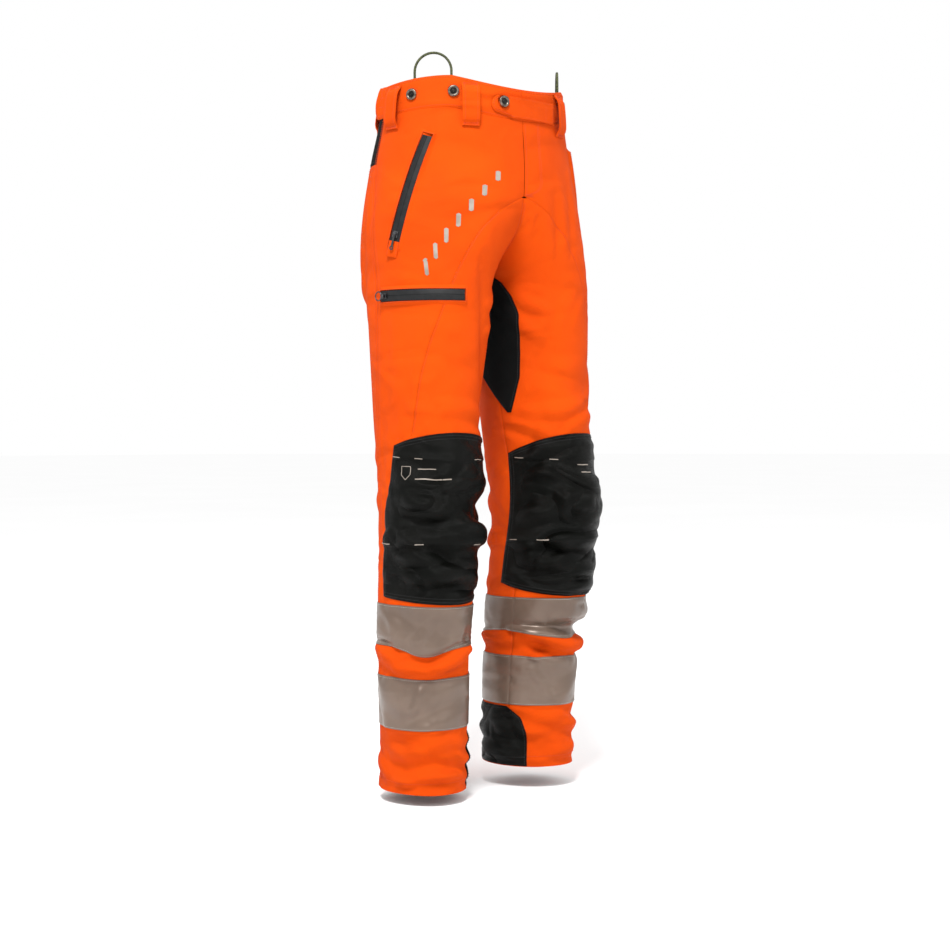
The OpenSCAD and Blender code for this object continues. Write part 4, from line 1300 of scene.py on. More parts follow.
# depth and height off the waistband along a strap
STATIONS = [(5, 1.4), (8, 1.7), (11, 3.4), (14.5, 6.6), (20, 8.4), (30, 9.0), (38, 9.1), (48, 8.9),
            (56, 8.3), (61.5, 6.4), (65, 3.3), (68, 1.8), (71, 1.5)]
loop_verts, loop_faces = [], []
for side, f0 in ((RIGHT, 124), (RIGHT, 178), (RIGHT, 228), (LEFT, 124), (LEFT, 178), (LEFT, 228),
                 (LEFT, 270)):
    p = form(side, f0, 5.0)
    n = unit(form(side, f0, 5.0, 1.0) - p)
    b = np.cross((0, 0, 1), n)
    fine = np.linspace(5, 71, 70)
    o = path(fine, STATIONS)
    o = np.convolve(np.pad(o, 2, mode="edge"), np.array([1, 2, 3, 2, 1]) / 9, "valid")
    foot = form(side, f0, fine)
    centre = p + ((foot - p) @ n)[:, None] * n + o[:, None] * n
    centre[:, 2] = foot[:, 2]
    ahead = np.gradient(centre, axis=0)
    ahead /= np.linalg.norm(ahead, axis=-1, keepdims=True)
    lift = np.cross(ahead, b)
    lift *= np.sign(lift @ n)[:, None]
    w = np.linspace(-1, 1, 15)
    ridge_up = 0.25 * np.exp(-((np.abs(w) - 0.8) / 0.12) ** 2) + 0.12 * (1 - w ** 2)
    edge_down = -0.45 * (np.abs(w) > 0.99)
    top = centre[:, None] + b * (w * STRAP_HALF)[None, :, None] \
        + lift[:, None] * (1.7 + ridge_up + edge_down)[None, :, None]
    under = centre[:, None] + b * (w * (STRAP_HALF - 0.2))[None, :, None] + lift[:, None] * 0.15
    nr, nc = len(fine), len(w)
    base = sum(len(v) for v in loop_verts)
    loop_faces.append(slab_faces(np.arange(nr * nc).reshape(nr, nc) + base, nr * nc))
    loop_verts.append(np.concatenate([top.reshape(-1, 3), under.reshape(-1, 3)]))
    for k in (2, -3):
        stitch_beads(top[2:-2, k] + lift[2:-2] * 0.05, lift[2:-2], "orange", side, pitch=3.2)
    for row in (2, 5, 64, 67):
        zig = []
        for i in range(31):
            share = i / 30
            c = 1 + share * (nc - 3)
            j = int(c)
            point = top[row, j] * (1 - c + j) + top[row, j + 1] * (c - j)
            zig.append(point + ahead[row] * (0.9 if i % 2 else -0.9) + lift[row] * 0.1)
        stitch_beads(zig, np.tile(lift[row], (31, 1)), "orange", side, pitch=2.0, thick=0.3, fill=0.96)
obj = make("loop_straps", np.concatenate(loop_verts), np.concatenate(loop_faces), MAT["orange_cloth"],
           "orange_cloth")
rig.replaces(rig.ride(obj, "trousers"), "belt_loops")


# ---- arcs for the zips and the tab, as in the CAD model -----------------------------------------
class Arc:
    """A circular arc through three points, and places on a strip bent along it."""

    def __init__(self, p, q, r):
        p, q, r = (np.asarray(v, float) for v in (p, q, r))
        a, b = q - p, r - p
        n = unit(np.cross(a, b))
        e1 = unit(a)
        e2 = np.cross(n, e1)
        bx, by, ax = b @ e1, b @ e2, np.linalg.norm(a)
        ux, uy = ax / 2, (bx * bx + by * by - ax * bx) / (2 * by)
        self.centre = p + ux * e1 + uy * e2
        self.axis, self.radius, self.first = n, math.hypot(ux, uy), unit(p - self.centre)
        self.span = math.degrees(math.acos(np.clip(self.first @ unit(r - self.centre), -1, 1)))

    def place(self, t, tilt, out, across):
        """Points at angle t along the arc, out of the strip and across it."""
        t, out, across = np.broadcast_arrays(np.radians(np.asarray(t, float)), out, across)
        c, s = math.cos(math.radians(tilt)), math.sin(math.radians(tilt))
        radial = self.radius + c * out - s * across
        height = s * out + c * across
        y = np.cross(self.axis, self.first)
        return self.centre + (np.cos(t) * radial)[..., None] * self.first \
            + (np.sin(t) * radial)[..., None] * y + height[..., None] * self.axis


def hip_point(side, t):
    """Point on a hip zip, from its lower end at 0 to its upper end at 1."""
    return form(side, mix(HIP_BOTTOM[0], HIP_TOP[0], t), mix(HIP_BOTTOM[1], HIP_TOP[1], t), 1.6)


def hip_tilt(side, arc):
    """How far a hip zip is turned about its own length to lie flat, in degrees."""
    m = hip_point(side, 0.5)
    r = unit(m - arc.centre)
    f, d = mix(HIP_TOP[0], HIP_BOTTOM[0], 0.5), mix(HIP_TOP[1], HIP_BOTTOM[1], 0.5)
    across = unit(form(side, f + 2, d) - form(side, f - 2, d))
    downward = unit(form(side, f, d + 4) - form(side, f, d - 4))
    raw = unit(np.cross(across, downward))
    n = raw if raw @ r > 0 else -raw
    return math.degrees(math.atan2(n @ arc.axis, n @ r))


def ribbon(name, place, s, profile, slot, scale=1.0):
    """A strip swept along s; profile is a closed outline of (across, out) pairs, and scale is the
    millimetres in one unit of s."""
    profile = np.asarray(profile, float)
    n, m = len(s), len(profile)
    verts = place(s[:, None], profile[None, :, 1], profile[None, :, 0])
    ids = np.arange(n * m).reshape(n, m)
    faces = tube_faces(ids).tolist() + [ids[0, ::-1].tolist(), ids[-1].tolist()]
    uv = np.stack([np.broadcast_to(profile[None, :, 0] * MM, (n, m)),
                   np.broadcast_to((s * scale)[:, None] * MM, (n, m))], -1).reshape(-1, 2)
    return outward(make(name, verts.reshape(-1, 3), faces, MAT[slot], slot, uv))


def zip_outline(width, thick=1.0, base=0.2):
    """Waterproof tape: rounded edges and a fine lipped groove where the two halves meet."""
    h = width / 2
    return [(-h, base), (-h, base + 0.45 * thick), (-h + 0.7, thick), (-1.6, thick),
            (-0.9, thick + 0.25), (-0.35, thick + 0.1), (0, base + 0.25), (0.35, thick + 0.1),
            (0.9, thick + 0.25), (1.6, thick), (h - 0.7, thick), (h, base + 0.45 * thick), (h, base)]


def on_cloth(side, points, f0, f1, d0, d1):
    """Nearest place on the folded garment for each point: angle, depth, distance off the cloth."""
    f, d = np.meshgrid(spread(f0, f1, 0.35), spread(d0, d1, 1.0))
    f, d = f.ravel(), d.ravel()
    skin = at(side, f, d)
    near = np.array([np.argmin(np.sum((skin - p) ** 2, -1)) for p in points])
    n = at(side, f[near], d[near], 1.0) - skin[near]
    return f[near], d[near], np.sum((points - skin[near]) * n, -1)


def welt(name, arc, tilt, side, t0, t1, half, patch):
    """Folded cloth lip round a zip, from the tape down to the garment, with its stitching."""
    loop = [(t, half) for t in np.linspace(t0, t1, 60)] + [(t, -half) for t in np.linspace(t1, t0, 60)]
    mid = (t0 + t1) / 2
    rings = []
    for extra, out in ((-1.6, 1.1), (-0.4, 1.45), (1.0, 1.45), (2.8, 1.0), (5.4, 0.4), (7.0, 0.0)):
        ring = []
        for t, w in loop:
            at_end = min(abs(t - t0), abs(t - t1)) < 1e-6
            ring.append((t + at_end * math.copysign(math.degrees(extra / arc.radius), t - mid),
                         w + math.copysign(extra, w), out))
        rings.append(ring)
    rings = np.array(rings)
    verts = arc.place(rings[..., 0], tilt, rings[..., 2], rings[..., 1])
    for k, keep, lift in ((3, 0.5, 0.55), (4, 0.0, 0.4), (5, 0.0, -0.5)):
        f, d, off = on_cloth(side, verts[k], *patch)
        flat = at(side, f, d)
        n = at(side, f, d, 1.0) - flat
        # slide along the normal only, so that the ring keeps its even outline
        verts[k] += n * (keep * np.maximum(off, 0) + lift - off)[:, None]
    n, m = verts.shape[:2]
    faces = tube_faces(np.arange(n * m).reshape(n, m))
    obj = make(name, verts.reshape(-1, 3), faces, MAT["orange_cloth"], "orange_cloth",
               (rings[..., :2].reshape(-1, 2) * (arc.radius * math.pi / 180, 1))[:, ::-1] * MM)
    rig.ride(outward(obj), "trousers")
    outs = verts[2] - arc.place(rings[2, :, 0], tilt, rings[2, :, 2] - 1.0, rings[2, :, 1])
    closed, lift = (np.concatenate([x, x[:1]]) for x in (verts[2], outs))
    stitch_beads(closed + lift * 0.15, lift, "orange", side, pitch=3.2)


for side in (RIGHT, LEFT):
    s = NAME[side]
    arc = Arc(hip_point(side, 0), hip_point(side, 0.5), hip_point(side, 1))
    tilt = hip_tilt(side, arc)
    swept = np.linspace(-0.6, arc.span + 0.2, 90)
    obj = ribbon("hip_tape_" + s, lambda t, o, w: arc.place(t, tilt, o, w), swept, zip_outline(16),
                 "zip_tape", arc.radius * math.pi / 180)
    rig.replaces(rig.ride(obj, "trousers"), "hip_zip_" + s)
    welt("hip_welt_" + s, arc, tilt, side, -0.8, arc.span + 0.5, 8.6, (134, 178, 72, 276))
    # hood over the lower end of the zip
    drop = math.degrees(26 / arc.radius)
    t = np.linspace(-drop, -drop + math.degrees(10 / arc.radius) + 1.1, 16)
    w = np.linspace(-9, 9, 19)
    tt, ww = np.meshgrid(t, w, indexing="ij")
    rise = 1.6 + 0.9 * (1 - (ww / 9) ** 2) * ease((tt - t[0]) / 0.5) \
        - 0.9 * np.exp(-((9 - np.abs(ww)) / 0.9) ** 2) - 0.7 * np.exp(-((tt - t[0]) / 0.12) ** 2)
    top, under = arc.place(tt, tilt, rise, ww), arc.place(tt, tilt, 0.2, ww)
    obj = make("hip_hood_" + s, np.concatenate([top.reshape(-1, 3), under.reshape(-1, 3)]),
               slab_faces(np.arange(tt.size).reshape(tt.shape), tt.size), MAT["orange_cloth"],
               "orange_cloth")
    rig.replaces(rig.ride(obj, "trousers"), "hip_garage_" + s)
    for k in (2, -3):
        stitch_beads(top[1:-1, k], (arc.place(tt, tilt, rise + 1, ww) - top)[1:-1, k], "orange", side,
                     pitch=2.6)

thigh = Arc(*(form(RIGHT, f, THIGH_D, 2.4) for f in (176, 138, 100)))
swept = np.linspace(0, thigh.span, 120)
obj = ribbon("thigh_tape", lambda t, o, w: thigh.place(t, 0, o, w), swept, zip_outline(16),
             "zip_tape", thigh.radius * math.pi / 180)
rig.replaces(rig.ride(obj, "trousers"), "thigh_zip")
welt("thigh_welt", thigh, 0, RIGHT, -0.4, thigh.span + 0.4, 8.6, (84, 192, 308, 354))

# ---- waist tab ----------------------------------------------------------------------------------
sewn, tip = form(LEFT, 117, BUTTON_D), form(RIGHT, 112, BUTTON_D)
tab = Arc(sewn, (0, form(LEFT, 90, BUTTON_D)[1], sewn[2]), (tip[0], tip[1], sewn[2]))
TAB_DROP = 11.0  # its middle lies this far below the arc
TAB_R = tab.radius + 3.4
length = math.radians(tab.span) * TAB_R
hole = form(RIGHT, CLOSURE_F, BUTTON_D)
sweep = np.cross(tab.axis, tab.first)
flat = hole - tab.centre
hole_s = math.atan2(flat @ sweep, flat @ tab.first) * TAB_R
axis_up = 1.0 if tab.axis[2] > 0 else -1.0
hole_w = hole[2] - (tab.centre[2] - TAB_DROP)


def tab_place(s, w, out):
    """Point of the tab: along it, up across it and out of it."""
    p = tab.place(np.degrees(np.asarray(s) / TAB_R), 0, out, np.asarray(w) * axis_up)
    return p - np.array((0, 0, TAB_DROP))


def round_hole(radius, count, start=0.0):
    return [(hole_s + radius * math.cos(a), hole_w + radius * math.sin(a))
            for a in np.linspace(start, 2 * math.pi + start, count, endpoint=False)]


def tab_outline(inset):
    """Square at the sewn end; the free end is rounded above and cut off at a slant below."""
    h, end = 17 - inset, length - 2 - inset * 0.8
    low = [(inset, -h), (length - 38, -h), (end - 6, -h + 8), (end - 2, -h + 11.5), (end, -h + 16)]
    turn = [(end - 14 + 14 * math.cos(a), h - 14 + 14 * math.sin(a))
            for a in np.linspace(0.1, math.pi / 2, 9)]
    return low + turn + [(inset, h)]


outline = tab_outline(0.4)
ring_in = round_hole(9.1, 40)
inner_pts = [(x, y) for x in np.arange(2, length - 1, 2.6) for y in np.arange(-15.6, 15.7, 2.6)
             if math.hypot(x - hole_s, y - hole_w) > 10.6
             and geometry.intersect_point_quad_2d(Vector((x, y)), *(Vector(q) for q in
                 ((1, -16), (length - 39, -16), (length - 18, 16), (1, 16))))]
inner_pts += round_hole(10.4, 30, 0.08) + tab_outline(1.6)
pts = outline + ring_in + inner_pts
k, m = len(outline), len(ring_in)
edges = [(i, (i + 1) % k) for i in range(k)] + [(k + i, k + (i + 1) % m) for i in range(m)]
flat_pts, _, tris, *_ = geometry.delaunay_2d_cdt([Vector(p) for p in pts], edges, [], 1, 1e-4)
flat_pts = np.array([tuple(p) for p in flat_pts])
tris = [t for t in tris if math.hypot(*(flat_pts[list(t)].mean(0) - (hole_s, hole_w))) > 9.05]
border = dict.fromkeys((a, b) for t in tris for a, b in zip(t, list(t[1:]) + [t[0]]))
rim = [(a, b) for a, b in border if (b, a) not in border]
on_rim = np.zeros(len(flat_pts), bool)
on_rim[[a for a, _ in rim]] = True
near = np.min(np.linalg.norm(flat_pts[:, None] - flat_pts[None, on_rim], axis=-1), 1)
out = 4.2 + 0.35 * ease(near / 3) - 0.7 * np.exp(-(near / 0.9) ** 2) \
    - 0.35 * np.exp(-((near - 3.4) / 0.8) ** 2)
top, under = tab_place(*flat_pts.T, out), tab_place(*flat_pts.T, 2.6)
n = len(flat_pts)
faces = [list(t) for t in tris] + [[v + n for v in reversed(t)] for t in tris] \
    + [[b, a, a + n, b + n] for a, b in rim]
obj = make("tab_cloth", np.concatenate([top, under]), faces, MAT["orange_cloth"], "orange_cloth",
           np.concatenate([flat_pts, flat_pts]) * MM)
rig.replaces(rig.ride(outward(obj), "waist_tab_body"), "waist_tab")


def tab_beads(line, **more):
    line = np.asarray(line, float)
    fine = np.concatenate([np.linspace(a, b, 8)[:-1] for a, b in zip(line[:-1], line[1:])])
    p = tab_place(*fine.T, 4.45)
    stitch_beads(p, tab_place(*fine.T, 5.45) - p, "orange", "tab", **more)


tab_beads(tab_outline(3.4) + tab_outline(3.4)[:1])
tab_beads([(24, -13.6), (24, 13.6)])
for a in np.linspace(0, 2 * math.pi, 44, endpoint=False):
    tab_beads([(hole_s + r * math.cos(a), hole_w + r * math.sin(a)) for r in (9.3, 11.2)], pitch=1.9,
              thick=0.42, fill=1.0)


# ---- turned metal: tack buttons -----------------------------------------------------------------
def across_axis(axis):
    """Two directions square to an axis and to each other."""
    a = unit(np.cross(axis, (0, 0, 1)))
    return a, np.cross(axis, a)


def turned(profile, origin, axis, segments=56):
    """Verts and faces of a closed profile of (radius, height) turned about an axis."""
    axis = unit(axis)
    a, b = across_axis(axis)
    t = np.linspace(0, 2 * math.pi, segments, endpoint=False)
    circle = np.cos(t)[:, None] * a + np.sin(t)[:, None] * b
    verts = [origin + axis * h + r * circle for r, h in profile]
    ids = np.arange(len(profile) * segments).reshape(-1, segments)
    faces = tube_faces(ids).tolist() + [ids[0, ::-1].tolist(), ids[-1].tolist()]
    return np.concatenate(verts), faces


def tack(shank):
    """Outer ring with a rolled edge, sunk middle and a small domed nail head."""
    body = [(3.5, 0), (3.5, shank - 0.1), (8.0, shank), (8.42, shank + 0.35), (8.5, shank + 1.0),
            (8.3, shank + 1.7), (7.7, shank + 2.2), (6.9, shank + 2.38), (6.0, shank + 2.3),
            (5.3, shank + 1.95), (4.9, shank + 1.45), (4.75, shank + 0.95), (4.4, shank + 0.8),
            (0.6, shank + 0.8)]
    nail = [(4.7, shank + 0.7), (4.7, shank + 0.98), (2.6, shank + 0.98), (2.5, shank + 1.3),
            (2.2, shank + 1.6), (1.6, shank + 1.78), (0.9, shank + 1.7), (0.5, shank + 1.45),
            (0.1, shank + 1.4)]
    return body, nail


def buttons(name, places, shank, node_name):
    """Buttons as two objects: the rings, and the darker nails that hold them."""
    for k, (label, material, slot) in enumerate(((name, MAT["button_metal"], "button_metal"),
                                                 (name + "_nails", DARK_METAL, None))):
        verts, faces, count = [], [], 0
        for side, f, d in places:
            p = form(side, f, d, 0.8)
            v, fs = turned(tack(shank)[k], p, form(side, f, d, 1.8) - p)
            verts.append(v)
            faces += [[i + count for i in q] for q in fs]
            count += len(v)
        obj = outward(make(label, np.concatenate(verts), faces, material, slot))
        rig.ride(obj, "trousers")
        if k == 0:
            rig.replaces(obj, node_name)


buttons("tack_buttons", [(s, f, BUTTON_D) for s in (RIGHT, LEFT) for f in BRACE_F], 2.2,
        "brace_buttons")
buttons("closure_tack", [(RIGHT, CLOSURE_F, BUTTON_D)], 5.2, "closure_button")
# a round of stitches round each brace button
for side in (RIGHT, LEFT):
    for f in BRACE_F:
        p = form(side, f, BUTTON_D, 0)
        n = unit(form(side, f, BUTTON_D, 1) - p)
        a, b = across_axis(n)
        t = np.linspace(0, 2 * math.pi, 60)
        ring = p + n * 1.05 + 9.6 * (np.cos(t)[:, None] * a + np.sin(t)[:, None] * b)
        stitch_beads(ring, np.tile(n, (60, 1)), "orange", side, pitch=2.4)

# ---- sliders and pulls keep the CAD shape, with broken edges ------------------------------------
for name in ("hip_slider_right", "hip_slider_left", "thigh_slider", "fly_slider", "fly_pull",
             "thigh_ring", "hip_pull_right", "hip_pull_left"):
    obj = frame["nodes"][name]
    obj.data.materials.clear()
    plastic = name.startswith("hip_pull")
    obj.data.materials.append(MAT["pull_plastic" if plastic else "zip_metal"])
    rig.slot(obj, "pull_plastic" if plastic else "zip_metal")
    weld = obj.modifiers.new("weld", "WELD")
    weld.merge_threshold = 1e-5
    bevel = obj.modifiers.new("bevel", "BEVEL")
    bevel.width, bevel.segments, bevel.limit_method = 0.00022, 2, "ANGLE"
    bevel.angle_limit = math.radians(40)

# ---- fly: tape with teeth and a cloth shield behind it ------------------------------------------
fly_front, fly_low = form(RIGHT, middle(66), 66), form(RIGHT, middle(170), 170)
lean = math.atan2(fly_low[1] - fly_front[1], fly_front[2] - fly_low[2])
fly_y = np.array((0, -math.sin(lean), math.cos(lean)))
fly_x = np.array((0, -math.cos(lean), -math.sin(lean)))
fly_z = np.array((1.0, 0, 0))


def fly_place(s, out, across):
    s, out, across = np.broadcast_arrays(s, out, across)
    return fly_front * (0, 1, 1) + s[..., None] * fly_y + out[..., None] * fly_x \
        + across[..., None] * fly_z


swept = np.linspace(-104, 4, 80)
tape = [(-13, -12.4), (-13, -11.8), (-12.2, -11.45), (-4, -11.5), (-3.4, -11.2), (-2.6, -11.2),
        (-2.2, -11.6), (0, -11.9), (2.2, -11.6), (2.6, -11.2), (3.4, -11.2), (4, -11.5), (12.2, -11.45),
        (13, -11.8), (13, -12.4)]
obj = ribbon("fly_tape", fly_place, swept, tape, "zip_tape")
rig.replaces(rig.ride(obj, "trousers"), "fly_zip")
verts, faces = [], []
for i, s in enumerate(np.arange(-102, 2, 1.5)):
    for sign in (-1, 1):
        y = s + (0.75 if sign > 0 else 0)
        c = [(y + a * 0.5, -11.95 + o * 0.75, sign * 1.9 - sign * w) for a in (-1, 1) for o in (0, 1)
             for w in (0, 2.6)]
        base = len(verts)
        verts += [fly_place(*map(np.asarray, q)) for q in c]
        faces += [[base + j for j in q] for q in
                  ((0, 1, 3, 2), (4, 6, 7, 5), (0, 4, 5, 1), (2, 3, 7, 6), (0, 2, 6, 4), (1, 5, 7, 3))]
obj = make("fly_teeth", np.array(verts), faces, MAT["zip_metal"], "zip_metal", smooth=False)
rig.ride(obj, "trousers")
shield = [(-19, -15.4), (-19, -14.7), (-18.3, -14.3), (-16.2, -14.35), (-15.6, -14.6), (-15, -14.35),
          (-6, -14.25), (6, -14.25), (15, -14.35), (15.6, -14.6), (16.2, -14.35), (18.3, -14.3),
          (19, -14.7), (19, -15.4)]
obj = ribbon("fly_guard", fly_place, np.linspace(-108, 8, 60), shield, "orange_cloth")
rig.replaces(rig.ride(obj, "trousers"), "fly_shield")
# the curved stitching that holds the fly facing to the left front
d = np.concatenate([np.linspace(BAND_H + 2, 150, 60),
                    150 + 24 * np.sin(np.linspace(0, math.pi / 2, 24))])
wide = np.concatenate([np.full(60, 34.0), 34 * np.cos(np.linspace(0, math.pi / 2, 24)) + 1])
for shift in (0, -3.5):
    f = middle(d) + np.degrees((wide + shift) / level(d, 2))
    stitch(LEFT, f, d)
stitch(LEFT, middle(np.linspace(52, 176, 60)) + 1.4, np.linspace(52, 176, 60))
for k in range(3):
    level_stitch(LEFT, 174 + 1.2 * k, float(middle(174)) + 1, float(middle(174)) + 6, pitch=2.0)

# ---- layers inside ------------------------------------------------------------------------------
PAD_ROWS = spread(110, 1020, 7)


def quilt(f, d):
    """Sewn channels across the fibre pack."""
    across = np.abs(np.sin(np.pi * (d - 110) / 65))
    return 0.9 * (np.minimum(across * 4, 1) - 1)


for side in (RIGHT, LEFT):
    s = NAME[side]
    p0 = lambda d: np.where(d < 300, start_angle(d) + 5, np.maximum(2, 6 - (d - 300) / 20))
    obj = cloth("fibre_pack_" + s, [between(side, PAD_ROWS, p0, beside(side_seam, -2), columns=46,
                extra=quilt)], -9.6, -4.6, "saw_fibre", reach=4, drop=1.6, place=within)
    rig.replaces(bends(obj, side), "saw_pad_" + s)
    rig.padded(obj, fill=0.3)
    edge = np.array([(54, 10), (195, 10), (240, 0.6)], float)
    l0 = lambda d: start_angle(d) + np.interp(d, edge[:, 0], edge[:, 1])
    rows = spread(50, 1060, 7)
    sink = lambda f, d: 10.2 * (1 - ease((d - 50) / 62)) * ease((d - 20) / 20)
    obj = cloth("mesh_lining_" + s, [between(side, rows, l0, beside(end_angle, -0.6), columns=70,
                extra=sink)], lambda d: -14.2 + 10.2 * (1 - ease((d - 50) / 62)), -13.0, "lining_cloth",
                drop=0.2, place=within)
    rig.replaces(bends(obj, side), "lining_" + s)
    sag = lambda f, d: 0.25 * np.sin(f / 7) * np.sin(d / 19)
    obj = cloth("hip_pocket_bag_" + s, [between(side, spread(84, 262, 6), fixed(118.0),
                beside(side_seam, -6), columns=26, extra=sag)], -3.2, -2.4, "lining_cloth", drop=0.2)
    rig.replaces(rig.ride(obj, "trousers"), "hip_bag_" + s)
obj = cloth("thigh_pocket_bag", [between(RIGHT, spread(318, 500, 6), fixed(96.0),
            beside(side_seam, -4), columns=30, extra=sag)], -3.2, -2.4, "lining_cloth", drop=0.2)
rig.replaces(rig.ride(obj, "trousers"), "thigh_bag")

# ---- elastic cord loops, with a braided surface -------------------------------------------------
LOOP_R, LOOP_LEG, SEWN_IN, CORD_R = 28.0, 16.0, 8.0, 2.0
for side in (RIGHT, LEFT):
    s = NAME[side]
    p = form(side, 148, 0, -9.0)
    n = unit((form(side, 148, 0, -8.0) - p) * (1, 1, 0))
    w = np.cross((0, 0, 1.0), n)
    leg = [(LOOP_R, z) for z in np.linspace(-SEWN_IN, LOOP_LEG - SEWN_IN, 20)]
    bow = [(LOOP_R * math.cos(a), LOOP_LEG - SEWN_IN + LOOP_R * math.sin(a))
           for a in np.linspace(0, math.pi, 110)[1:-1]]
    line = np.array(leg + bow + [(-x, z) for x, z in reversed(leg)])
    run = np.concatenate([[0], np.cumsum(np.linalg.norm(np.diff(line, axis=0), axis=1))])
    even = np.linspace(0, run[-1], 240)
    line = np.stack([np.interp(even, run, line[:, k]) for k in (0, 1)], -1)
    centre = p + line[:, :1] * w + line[:, 1:] * np.array((0, 0, 1.0))
    ahead = np.gradient(centre, axis=0)
    ahead /= np.linalg.norm(ahead, axis=-1, keepdims=True)
    side_way = np.cross(ahead, n)
    t = np.linspace(0, 2 * math.pi, 28, endpoint=False)
    turn = even[:, None] * 0.75
    braid = 0.10 * np.sin(4 * t + turn) * np.sin(4 * t - turn)
    radius = CORD_R - 0.1 + braid
    radius[[0, -1]] *= 0.6
    verts = centre[:, None] + radius[..., None] * (np.cos(t)[None, :, None] * n
                                                   + np.sin(t)[None, :, None] * side_way[:, None])
    ids = np.arange(verts[..., 0].size).reshape(len(even), len(t))
    faces = tube_faces(ids)[:, ::-1].tolist() + [ids[0].tolist(), ids[-1, ::-1].tolist()]
    uv = np.stack(np.broadcast_arrays(even[:, None] * MM, t[None] / (2 * math.pi)), -1).reshape(-1, 2)
    obj = make("elastic_cord_" + s, verts.reshape(-1, 3), faces, MAT["elastic_cord"],
               "elastic_cord", uv)
    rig.ride(outward(obj), "cord_loop_body_" + s)
    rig.replaces(obj, "cord_loop_" + s)
    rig.cord(obj, exit=tuple(centre[0] * MM), length=float(run[-1]) * MM, diameter=2 * CORD_R * MM,
            far_end="object", stiffness="stiff", lay="taut", path=(centre * MM).tolist())


# ---- prints and reflective dashes ---------------------------------------------------------------
def decal(name, shapes, mat, follow):
    """Thin printed shapes. Each is (side, angles, depths, offset) with arrays that form a grid."""
    verts, faces, uvs, count = [], [], [], 0
    for side, f, d, o in shapes:
        nr, nc = f.shape
        outer, inner = at(side, f, d, o + 0.22), at(side, f, d, o - 0.5)
        block = slab_faces(np.arange(nr * nc).reshape(nr, nc) + count, nr * nc)
        faces += (block if side == RIGHT else block[:, ::-1]).tolist()
        verts += [outer.reshape(-1, 3), inner.reshape(-1, 3)]
        uvs += [cloth_uv(side, f, d).reshape(-1, 2)] * 2
        count += 2 * nr * nc
    obj = make(name, np.concatenate(verts), faces, MAT[mat], mat, np.concatenate(uvs))
    if follow in (RIGHT, LEFT):
        bends(obj, follow)
    else:
        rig.ride(obj, follow)
    return obj


bars = []
for i in range(7):
    t = i / 6
    d0, f0, h = mix(290, 150, t), mix(136, 101, t), mix(26, 15, t)
    x, y = np.meshgrid(np.linspace(-1, 1, 7), np.linspace(-1, 1, 15))
    taper = np.sqrt(np.clip(1 - np.maximum(0, (np.abs(y) - 0.86) / 0.14) ** 2, 0.02, 1))
    bars.append((RIGHT, f0 + 1.6 * x * taper - y * h / 18, d0 + y * h / 2, np.full(x.shape, 0.3)))
obj = decal("hip_print", bars, "grey_transfer", "trousers")
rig.replaces(obj, "thigh_print")

# tuck of the patch, first and last angle of each dash
for side, dashes in ((RIGHT, ((0, 151, 161), (0, 127, 135), (0, 52, 66), (1, 161, 174), (1, 122, 131),
                              (1, 50, 62))),
                     (LEFT, ((0, 128, 138), (0, 44, 53), (0, 8, 17), (1, 120, 130), (1, 23, 35),
                             (1, -7, 2)))):
    shapes = []
    for k, a, b in dashes:
        f, y = np.meshgrid(np.linspace(a, b, 14), np.linspace(-0.55, 0.55, 3))
        d = pleat_depth(f, k) - 1.6 + y
        shapes.append((side, f, d, on_patch(side, f, d)))
    decal("patch_dashes_" + NAME[side], shapes, "grey_transfer", side)


def strip(side, f0, d0, f1, d1, wide):
    """A straight printed line on a knee patch, from one angle and depth to another."""
    x, y = np.meshgrid(np.linspace(0, 1, 12), np.linspace(-0.5, 0.5, 3))
    run_f, run_d = (f1 - f0) * AROUND_MM, d1 - d0
    size = math.hypot(run_f, run_d)
    f = mix(f0, f1, x) - y * wide * run_d / size / AROUND_MM
    d = mix(d0, d1, x) + y * wide * run_f / size
    order = 1 if run_f >= 0 else -1
    f, d = f[:, ::order], d[:, ::order]
    return side, f, d, on_patch(side, f, d)


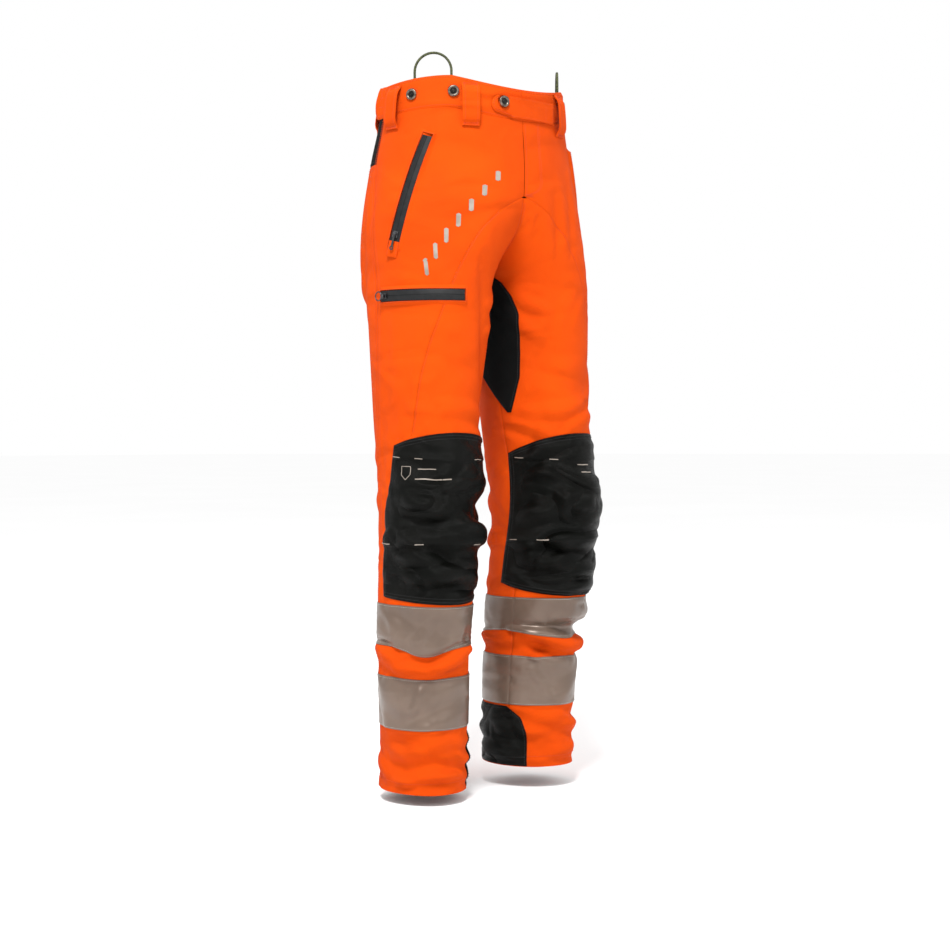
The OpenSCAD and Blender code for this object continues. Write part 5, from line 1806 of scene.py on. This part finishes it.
# a plain outline and plain bars stand in for the printed marks on the knees
marks = [strip(RIGHT, *a, *b, 0.9) for a, b in (
    ((149, 584), (139.5, 584)), ((149, 584), (149, 597)), ((139.5, 584), (139.5, 597)),
    ((149, 597), (144.2, 604)), ((144.2, 604), (139.5, 597)))]
marks += [strip(RIGHT, f0, d0, f1, d0, 1.6) for d0, f0, f1 in ((588, 132, 113), (603, 134, 96))]
decal("patch_marks_right", marks, "grey_transfer", RIGHT)
marks = [strip(LEFT, f0, d0, f1, d0, 1.6) for d0, f0, f1 in ((582, 76, 95), (596, 77, 95))]
decal("patch_marks_left", marks, "grey_transfer", LEFT)

# ---- all the stitches, one object for each leg and colour ---------------------------------------
for (where, colour), parts in STITCHES.items():
    verts, faces, count = [], [], 0
    for v, f in parts:
        verts.append(v)
        faces.append(f + count)
        count += len(v)
    label = where if where == "tab" else NAME[where]
    obj = make("stitches_" + colour + "_" + label, np.concatenate(verts),
               np.concatenate(faces).tolist(), THREAD[colour])
    if where == "tab":
        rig.ride(obj, "waist_tab_body")
    else:
        bends(obj, where)

# ---- light and floor ----------------------------------------------------------------------------
world = bpy.data.worlds.new("studio")
bpy.context.scene.world = world
world.use_nodes = True
sky = world.node_tree.nodes["Background"].inputs
sky["Color"].default_value, sky["Strength"].default_value = (1, 1, 1, 1), 1.0


def area_light(name, place, target, size, power):
    data = bpy.data.lights.new(name, "AREA")
    data.size, data.energy = size, power
    lamp = bpy.data.objects.new(name, data)
    lamp.location = place
    lamp.rotation_euler = (Vector(target) - Vector(place)).to_track_quat("-Z", "Y").to_euler()
    bpy.context.scene.collection.objects.link(lamp)


area_light("key", (-1.5, -1.3, 2.1), (0, 0, -0.6), 0.8, 125)
area_light("front", (0.9, -2.6, 0.9), (0, 0, -0.5), 1.6, 10)
bpy.context.scene.view_settings.view_transform = "Standard"

FLOOR_HALF, FLOOR_Z = 40000, -1092
floor = make("floor", [(x * FLOOR_HALF, y * FLOOR_HALF, FLOOR_Z)
                       for x, y in ((-1, -1), (1, -1), (1, 1), (-1, 1))], [(0, 1, 2, 3)],
             plain("floor_white", (0.97, 0.97, 0.97, 1), (0.98, 0.98, 0.98, 1), 1.0, tone=1.0,
                   strength=0.0, Specular_IOR_Level=0.0))
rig.stage(floor)

low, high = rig.bounds()
with open("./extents.json", "w") as out:
    json.dump({"cad": CAD_BOX, "visual": [[float(x) for x in low], [float(x) for x in high]]}, out)
